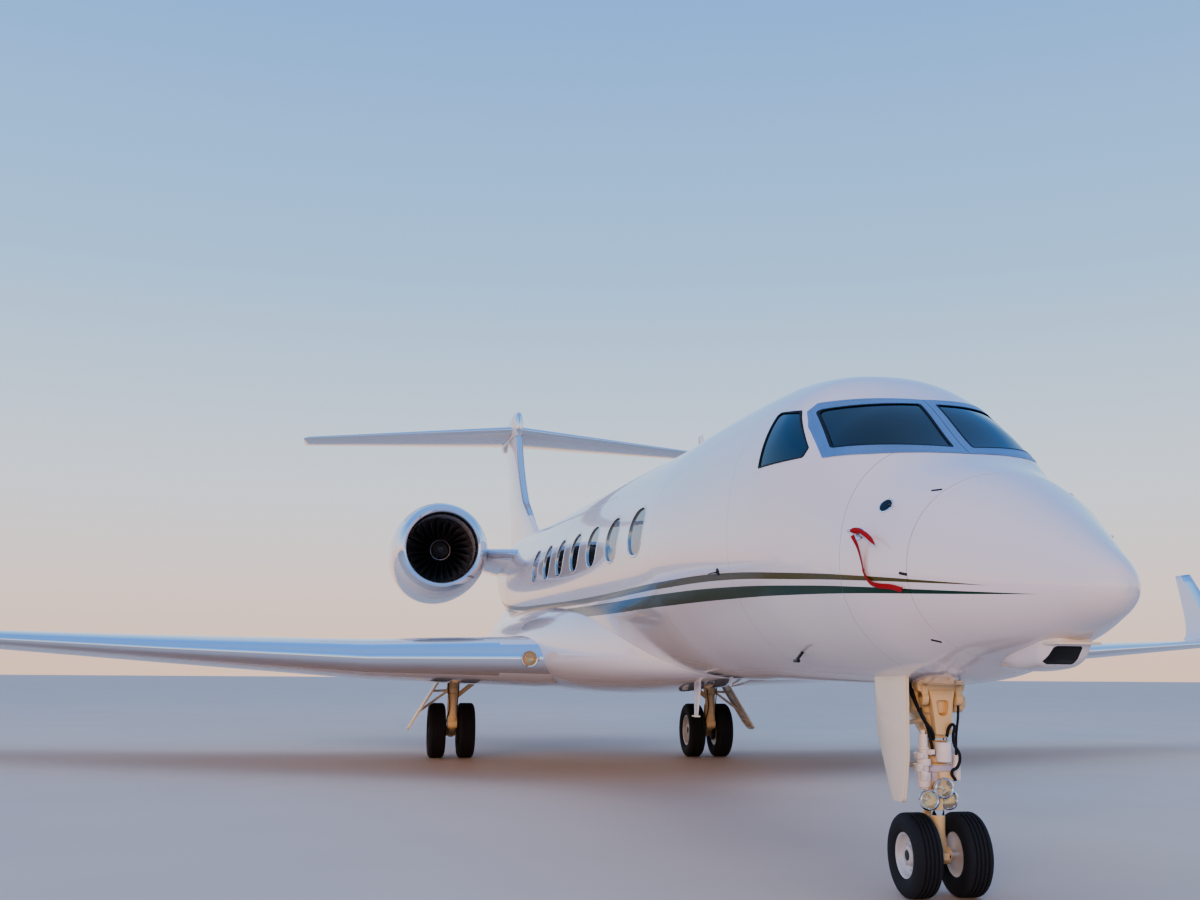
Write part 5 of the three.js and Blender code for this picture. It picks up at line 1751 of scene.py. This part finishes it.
# Nose gear. Places are measured from the leg's axis at ground level, profiles are (radius, height).
noseGear = {
    "station": 2.25, "doorX": -0.318, "doorSkin": 0.012, "doorFrame": 0.016, "doorRim": -0.055,
    "leg": [
        (0.0, 1.44), (0.070, 1.44), (0.070, 1.315), (0.092, 1.300), (0.092, 1.170), (0.072, 1.155),
        (0.072, 1.070), (0.088, 1.062), (0.088, 1.040), (0.080, 1.034), (0.080, 1.016), (0.090, 1.010),
        (0.090, 0.992), (0.074, 0.985), (0.074, 0.856), (0.086, 0.848), (0.100, 0.842), (0.104, 0.834),
        (0.104, 0.800), (0.098, 0.794), (0.098, 0.768), (0.104, 0.762), (0.104, 0.730), (0.096, 0.722),
        (0.080, 0.718), (0.080, 0.7003), (0.0, 0.7003),
    ],
    "steered": [
        (0.0, 0.6997), (0.084, 0.6997), (0.088, 0.694), (0.088, 0.664), (0.080, 0.656), (0.046, 0.652),
        (0.046, 0.640), (0.0, 0.640),
    ],
    "fork": [
        (0.0, 0.515), (0.043, 0.515), (0.046, 0.508), (0.046, 0.492), (0.043, 0.400), (0.050, 0.350),
        (0.056, 0.300), (0.054, 0.262), (0.0, 0.262),
    ],
    "piston": [(0.0, 0.645), (0.041, 0.645), (0.041, 0.415), (0.0, 0.415)],
    "torqueCollar": [
        (0.102, 0.728), (0.114, 0.734), (0.116, 0.760), (0.110, 0.768), (0.110, 0.790), (0.116, 0.798),
        (0.116, 0.826), (0.110, 0.836), (0.100, 0.838),
    ],
    "legCollar": [(0.080, 0.992), (0.092, 0.996), (0.092, 1.008), (0.080, 1.012)],
    "door": [(1.950, 1.420), (2.450, 1.420), (2.430, 1.050), (2.210, 0.615), (2.050, 0.615), (1.975, 0.900)],
    "pivot": ((-0.205, 0, 1.235), (0.205, 0, 1.235), 0.046), "drag": ((0, 0.04, 0.95), (0, 0.7, 1.42), 0.032),
    "lug": [(-0.060, 1.30), (-0.045, 1.195), (0.045, 1.195), (0.060, 1.30), (0.060, 1.45), (-0.060, 1.45)],
    "brace": [
        (-0.092, 1.315), (0.092, 1.315), (0.074, 1.230), (0.056, 1.030), (-0.050, 1.030), (-0.072, 1.230),
    ],
    "braceHole": [(-0.046, 1.250), (0.046, 1.250), (0.030, 1.150), (-0.030, 1.150)],
    "beam": [(-0.175, 1.385), (0.175, 1.385), (0.160, 1.305), (-0.160, 1.305)],
    "canister": [
        ((-0.005, -0.128, 0.905), (-0.005, -0.128, 0.912), 0.055),
        ((-0.005, -0.060, 0.920), (-0.005, -0.128, 0.920), 0.016, 20),
    ],
    "valves": [
        ((-0.128, -0.095, 0.690), (-0.128, -0.095, 1.035), 0.030),
        ((-0.128, -0.095, 0.700), (-0.128, -0.095, 0.795), 0.042),
        ((-0.128, -0.095, 0.835), (-0.128, -0.095, 0.880), 0.046),
        ((-0.128, -0.095, 0.935), (-0.128, -0.095, 0.955), 0.038),
        ((-0.128, -0.095, 0.985), (-0.128, -0.095, 1.060), 0.016, 20),
        ((0.104, -0.080, 0.740), (0.104, -0.080, 0.900), 0.026),
    ],
    "valveBlocks": [  # x, height, how high
        (-0.178, 0.800, 0.050), (-0.172, 0.880, 0.040), (-0.150, 0.745, 0.060), (-0.096, 0.905, 0.035),
    ],
    "pipes": [
        (0.012, [
            (-0.215, -0.02, 1.40), (-0.190, -0.10, 1.27), (-0.130, -0.13, 1.12), (-0.075, -0.12, 1.045),
            (-0.060, -0.10, 1.00),
        ]),
        (0.010, [
            (-0.180, -0.02, 1.39), (-0.160, -0.09, 1.22), (-0.110, -0.11, 1.10), (-0.085, -0.12, 0.98),
            (-0.070, -0.12, 0.90),
        ]),
        (0.008, [
            (-0.140, 0.02, 1.39), (-0.115, -0.06, 1.16), (-0.095, -0.10, 1.02), (-0.128, -0.095, 1.045),
        ]),
        (0.010, [
            (0.020, -0.130, 1.020), (0.034, -0.150, 1.085), (0.056, -0.155, 1.095), (0.058, -0.145, 1.030),
            (0.066, -0.135, 0.975), (0.095, -0.150, 0.900), (0.072, -0.160, 0.830), (0.030, -0.165, 0.800),
            (0.060, -0.150, 0.745),
        ]),
        (0.008, [(0.150, -0.02, 1.39), (0.120, -0.10, 1.17), (0.100, -0.10, 1.02), (0.104, -0.080, 0.895)]),
    ],
    "forkBars": [
        ((-0.034, 0.170, 0.500), (0.034, 0.170, 0.500), 0.017),
        ((-0.040, 0.050, 0.322), (0.040, 0.050, 0.322), 0.017),
    ],
    "linkWidth": 0.030, "linkSize": 0.013,
    "links": [((0.086, 0.668), (0.168, 0.505)), ((0.168, 0.495), (0.052, 0.330))],  # each (y, z) to (y, z)
}
taxiLamp = {
    "places": [(-0.140, 0.0, 0.628), (-0.040, -0.006, 0.700), (0.012, 0.045, 0.626)],
    "pieces": {  # finish, the angle from which an edge is sharp, steps, closed profile of (radius, distance)
        "cups": ("lamp", 40, 40, [
            (0.0, -0.098), (0.034, -0.102), (0.050, -0.130), (0.058, -0.160), (0.058, -0.182),
            (0.053, -0.183), (0.047, -0.158), (0.034, -0.132), (0.016, -0.120), (0.012, -0.150),
            (0.0, -0.154),
        ]),
        "rings": ("chrome", 50, 48, [
            (0.052, -0.190), (0.058, -0.196), (0.066, -0.190), (0.068, -0.178), (0.064, -0.166),
            (0.056, -0.164),
        ]),
        "lenses": ("lens", 50, 40, [
            (0.0, -0.196), (0.035, -0.194), (0.053, -0.188), (0.053, -0.185), (0.035, -0.190),
            (0.0, -0.192),
        ]),
    },
    "stem": 0.015,
    "brackets": [
        ((-0.082, -0.150, 0.560), (-0.028, -0.085, 0.690), 0.008),
        ((-0.060, -0.100, 0.640), (0.020, -0.070, 0.760), 0.008),
    ],
}


def addTaxiLamps(foot):
    for label, (finish, angle, steps, profile) in taxiLamp["pieces"].items():
        lamps = [turned(closed(profile), foot + Vector(place), steps=steps) for place in taxiLamp["places"]]
        dressed(lamps, f"taxi_lamp_{label}", finish, angle=angle)
    stems = []
    for x, y, z in taxiLamp["places"]:
        stems += rods([((x, y - 0.12, z), (x * 0.4 - 0.02, -0.09, 0.735), taxiLamp["stem"])], foot, 20)
    dressed(stems + boxes(taxiLamp["brackets"], foot), "taxi_lamp_stems", "gear")


def noseDoor(y):
    outline = [(along(s), z) for s, z in noseGear["door"]]
    x, skin = noseGear["doorX"], noseGear["doorSkin"]
    inside = x + noseGear["doorFrame"]
    panel = plate(outline, x - skin, x, 0.003, 0.03)
    rim = plate(outline, x, inside, 0.003, 0.03)
    hole = [(-0.40, *point) for point in spread(outline, noseGear["doorRim"])]
    cut(rim, pushed(outlined(hole, 0.04), (0.2, 0, 0)))
    ribs = [box(at(x, 1.985, z), at(x + 0.014, 2.40, z + 0.022)) for z in (1.24, 1.05)]
    ribs.append(box(at(x, 2.02, 0.84), at(x + 0.014, 2.27, 0.862)))
    links = [rod((-0.310, y - 0.04, z - 0.03), (-0.075, y, z), 0.015) for z in (1.12, 0.85)]
    dressed([panel, rim, *ribs, *links], "nose_door", "sunlit_cream", ["nose_gear_door"])


def noseCasting(foot):
    y = foot.y
    lug = [(y + back, z) for back, z in noseGear["lug"]]
    bosses = [((sign * 0.118, 0, 1.235), (sign * 0.186, 0, 1.235), 0.068) for sign in sides.values()]
    parts = [
        turned(noseGear["leg"], foot, "z", 56),
        *rods([noseGear["pivot"]], foot, 32),
        *rods([noseGear["drag"]], foot),
        *(plate(lug, sign * 0.150 - 0.025, sign * 0.150 + 0.025) for sign in sides.values()),
        *rods(bosses, foot, 32),
    ]
    brace = faced(noseGear["brace"], y - 0.130, y - 0.066, 0.008)
    hole = [(x, y - 0.16, z) for x, z in noseGear["braceHole"]]
    parts += [cut(brace, pushed(outlined(hole, 0.022), (0, 0.12, 0)))]
    parts += boxes([((-0.045, -0.150, 0.706), (0.045, -0.080, 0.800), 0.008)], foot)
    parts.append(faced(noseGear["beam"], y - 0.120, y - 0.020, 0.01))
    for sign in sides.values():
        x = sign * 0.118
        parts += rods([((sign * 0.096, -0.098, 1.262), (sign * 0.140, -0.098, 1.262), 0.046)], foot, 36)
        parts += boxes([((x - 0.022, -0.135, 1.262), (x + 0.022, -0.060, 1.345), 0.008)], foot)
    dressed(parts, "nose_leg_casting", "gear", ["nose_leg"])


def noseSteering(foot):
    low, high = foot + Vector((-0.005, -0.128, 0.858)), foot + Vector((-0.005, -0.128, 0.985))
    tin = [rod(low, high, 0.052, sides=36, edge=0.2)]
    dressed(tin + rods(noseGear["canister"], foot, 36), "steering_canister", "white")
    stack = rods(noseGear["valves"], foot)
    for x, z, high in noseGear["valveBlocks"]:
        stack += boxes([((x - 0.018, -0.150, z), (x + 0.024, -0.070, z + high), 0.006)], foot)
        stack += rods([((x, -0.165, z + high / 2), (x, -0.070, z + high / 2), 0.013)], foot, 20)
    dressed(stack, "steering_valves", "white")
    dressed(turned(closed(noseGear["torqueCollar"]), foot, "z", 56), "torque_collar", "lavender")
    dressed(turned(closed(noseGear["legCollar"]), foot, "z", 56), "leg_collar", "chrome")
    dressed(pipes(noseGear["pipes"], foot), "nose_pipes", "seal", angle=60)


def noseFork(foot, radius):
    wide, size = noseGear["linkWidth"], noseGear["linkSize"]
    links = [
        ((sign * wide, *top), (sign * 0.010, *bottom), size)
        for top, bottom in noseGear["links"] for sign in sides.values()
    ]
    fork = [
        turned(noseGear["steered"], foot, "z", 56), turned(noseGear["fork"], foot, "z", 48),
        *rods([((-0.062, 0, radius), (0.062, 0, radius), 0.060)], foot, 40),
        *boxes([((-0.040, 0.055, 0.640), (0.040, 0.096, 0.690), 0.006)], foot),
        *boxes([((-0.026, -0.104, radius - 0.024), (0.026, -0.040, radius + 0.024), 0.006)], foot),
        *rods(noseGear["forkBars"] + links, foot, 20),
    ]
    dressed(fork, "nose_fork", "gear", ["nose_steering"], body="nose_steering")
    dressed(turned(noseGear["piston"], foot, "z", 48), "nose_piston", "chrome", body="nose_steering")
    tow = rods([((-0.030, -0.090, radius), (0.030, -0.090, radius), 0.014)], foot, 20)
    dressed(tow, "tow_pin", "dark", body="nose_steering")


def addNoseGear():
    foot = at(0, noseGear["station"], 0)
    radius = wheelKinds["nose"]["radius"]
    noseCasting(foot)
    noseSteering(foot)
    addTaxiLamps(foot)
    noseFork(foot, radius)
    addWheels("nose", "nose", "nose_wheels", foot + Vector((0, 0, radius)))
    noseDoor(foot.y)
    print("nose gear made")


# Main gear. Places are measured from the leg's axis at ground level.
mainGear = {
    "station": 15.97, "leg": 15.70, "x": 2.185,
    "profile": [
        (0.0, 1.62), (0.084, 1.62), (0.084, 1.300), (0.096, 1.290), (0.106, 1.278), (0.106, 1.225),
        (0.096, 1.215), (0.096, 1.150), (0.106, 1.140), (0.106, 1.060), (0.094, 1.048), (0.084, 1.040),
        (0.084, 0.700), (0.092, 0.690), (0.092, 0.625), (0.080, 0.600), (0.0, 0.600),
    ],
    "hoses": [
        [
            (0.07, -0.09, 1.45), (0.09, -0.10, 1.20), (0.07, -0.10, 0.85), (0.085, -0.02, 0.62),
            (0.10, 0.15, 0.50),
        ],
        [
            (-0.07, -0.09, 1.45), (-0.08, -0.11, 1.15), (-0.06, -0.10, 0.80), (-0.09, -0.02, 0.62),
            (-0.10, 0.15, 0.50),
        ],
    ],
    "hose": 0.008, "brake": 0.165,
    "door": [(-0.250, 0.0), (-0.235, -0.98), (-0.150, -1.010), (0.150, -1.010), (0.250, -0.90), (0.250, 0.0)],
    "doorAt": (0.190, 1.330), "doorLean": 32, "doorRibs": (-0.30, -0.60, -0.82), "doorRim": -0.05,
}


def addMainGear():
    wheelUp = wheelKinds["main"]["radius"]
    back = mainGear["station"] - mainGear["leg"]
    for side, sign in sides.items():
        x = sign * mainGear["x"]
        foot = at(x, mainGear["leg"], 0)
        y = foot.y
        axle = at(x, mainGear["station"], wheelUp)
        arm = [
            (-0.060, 0.500), (back - 0.050, 0.380), (back + 0.070, 0.380), (back + 0.080, 0.500),
            (0.080, 0.605), (-0.060, 0.640),
        ]
        parts = [
            turned(mainGear["profile"], foot, "z", 56),
            plate([(y + aft, z) for aft, z in arm], x - 0.058, x + 0.058, 0.012, 0.03),
            *rods([((-0.080, 0, 0.560), (0.080, 0, 0.560), 0.078)], foot, 40),
            *rods([((-0.080, 0, 0), (0.080, 0, 0), 0.090)], axle, 40),
            *boxes([((-0.042, -0.042, -0.106), (0.042, 0.042, -0.060), 0.008)], axle),
            *rods([((0, 0, 0.95), (-sign * 0.80, -0.03, 1.60), 0.036)], foot),
            *rods([((0, -0.095, 1.235), (0, 0.170, 1.160), 0.040)], foot),
            *rods([((-0.055, 0.150, 1.150), (0.055, 0.150, 1.150), 0.038)], foot),
        ]
        dressed(parts, f"main_leg_casting_{side}", "gear", [f"main_leg_{side}"])
        low, high = foot + Vector((0, back + 0.01, 0.540)), foot + Vector((0, 0.150, 1.150))
        for label, start, end, radius, finish in (
            ("body", 0.0, 0.55, 0.044, "gear"), ("shaft", 0.54, 0.98, 0.028, "chrome"),
        ):
            shock = rod(low.lerp(high, start), low.lerp(high, end), radius, sides=32)
            dressed(shock, f"shock_{label}_{side}", finish)
        hoses = pipes([(mainGear["hose"], route) for route in mainGear["hoses"]], foot)
        dressed(hoses, f"brake_pipes_{side}", "seal", angle=60)
        brakes = []
        for way in (-1, 1):
            start, end = (axle + Vector((way * reach, 0, 0)) for reach in (0.092, 0.125))
            brakes.append(rod(start, end, mainGear["brake"], sides=48, edge=0.04))
        dressed(brakes, f"brake_packs_{side}", "dark")
        addMainDoor(side, sign, foot)
        addWheels("main", f"main_{side}", f"main_{side}_wheels", axle)
    print("main gear made")


def addMainDoor(side, sign, foot):
    out, height = mainGear["doorAt"]
    turn = Matrix.Rotation(math.radians(-sign * mainGear["doorLean"]), 4, "Y")
    place = Matrix.Translation(foot + Vector((sign * out, 0, height))) @ turn
    outline = mainGear["door"]
    skin, ring = ((0.004, 0.014), (-0.014, 0.004)) if sign > 0 else ((-0.014, -0.004), (-0.004, 0.014))
    skin, ring = plate(outline, *skin, 0.003, 0.035), plate(outline, *ring, 0.003, 0.035)
    hole = [(-0.1, *point) for point in spread(outline, mainGear["doorRim"])]
    cut(ring, pushed(outlined(hole, 0.012), (0.2, 0, 0)))
    ribs = [box((-0.013, -0.22, z), (0.006, 0.22, z + 0.025)) for z in mainGear["doorRibs"]]
    panel = seated(joined(skin, ring, *ribs), place)
    ends = {1.10: (sign * 0.330, 0, 1.085), 1.15: (sign * 0.540, 0, 0.760)}
    links = rods([((0, 0, height), end, 0.019) for height, end in ends.items()], foot, 20)
    dressed([panel, *links], f"main_door_{side}", "sunlit_cream")


def addLamp(name, kind, **settings):
    lamp = bpy.data.lights.new(name, kind)
    for key, value in settings.items():
        setattr(lamp, key, value)
    obj = linked(name, lamp)
    obj.visible_glossy = False
    return obj


def addStudio():
    floor = fresh(bpy.ops.mesh.primitive_plane_add, size=studio["floorSize"])
    floor.name = "floor"
    ground = Finish("floor_grey")
    base = ground.mixed(ground.noise(0.35, 4.0), studio["floor"], dimmed(studio["floor"], 0.86))
    ground.feed(Base_Color=base, Roughness=ground.noise(0.8, 4.0) * 0.15 + 0.60)
    floor.data.materials.append(ground.material)

    world = bpy.data.worlds.new("studio")
    world.use_nodes = True
    bpy.context.scene.world = world
    nodes = Nodes(world.node_tree)
    sight = nodes.add("ShaderNodeSeparateXYZ", sockets={0: nodes.add("ShaderNodeTexCoord")}, output=2)
    sky = nodes.add("ShaderNodeValToRGB", {"stops": studio["sky"]}, {0: sight})
    back = nodes.tree.nodes["Background"]
    setSocket(nodes.tree, back.inputs["Color"], sky)
    back.inputs["Strength"].default_value = studio["strength"]
    bpy.context.scene.view_settings.look = studio["look"]

    over, sun = studio["overhead"], studio["sun"]
    lamp = addLamp("overhead", "AREA", size=over["size"], energy=over["power"], color=over["colour"])
    lamp.location.z = over["height"]
    low = {"energy": sun["strength"], "color": sun["colour"], "angle": math.radians(sun["spread"])}
    lamp = addLamp("low_sun", "SUN", **low)
    lamp.rotation_euler = Vector(sun["toward"]).to_track_quat("-Z", "Y").to_euler()


addCamera()
finishes = makeFinishes()
addHull()
addFairing()
addWings()
addTail()
addEngines()
addGlazing()
addCabinWindows()
addDoor()
addCockpit()
addChin()
addFittings()
addCover()
addNoseGear()
addMainGear()
addStudio()
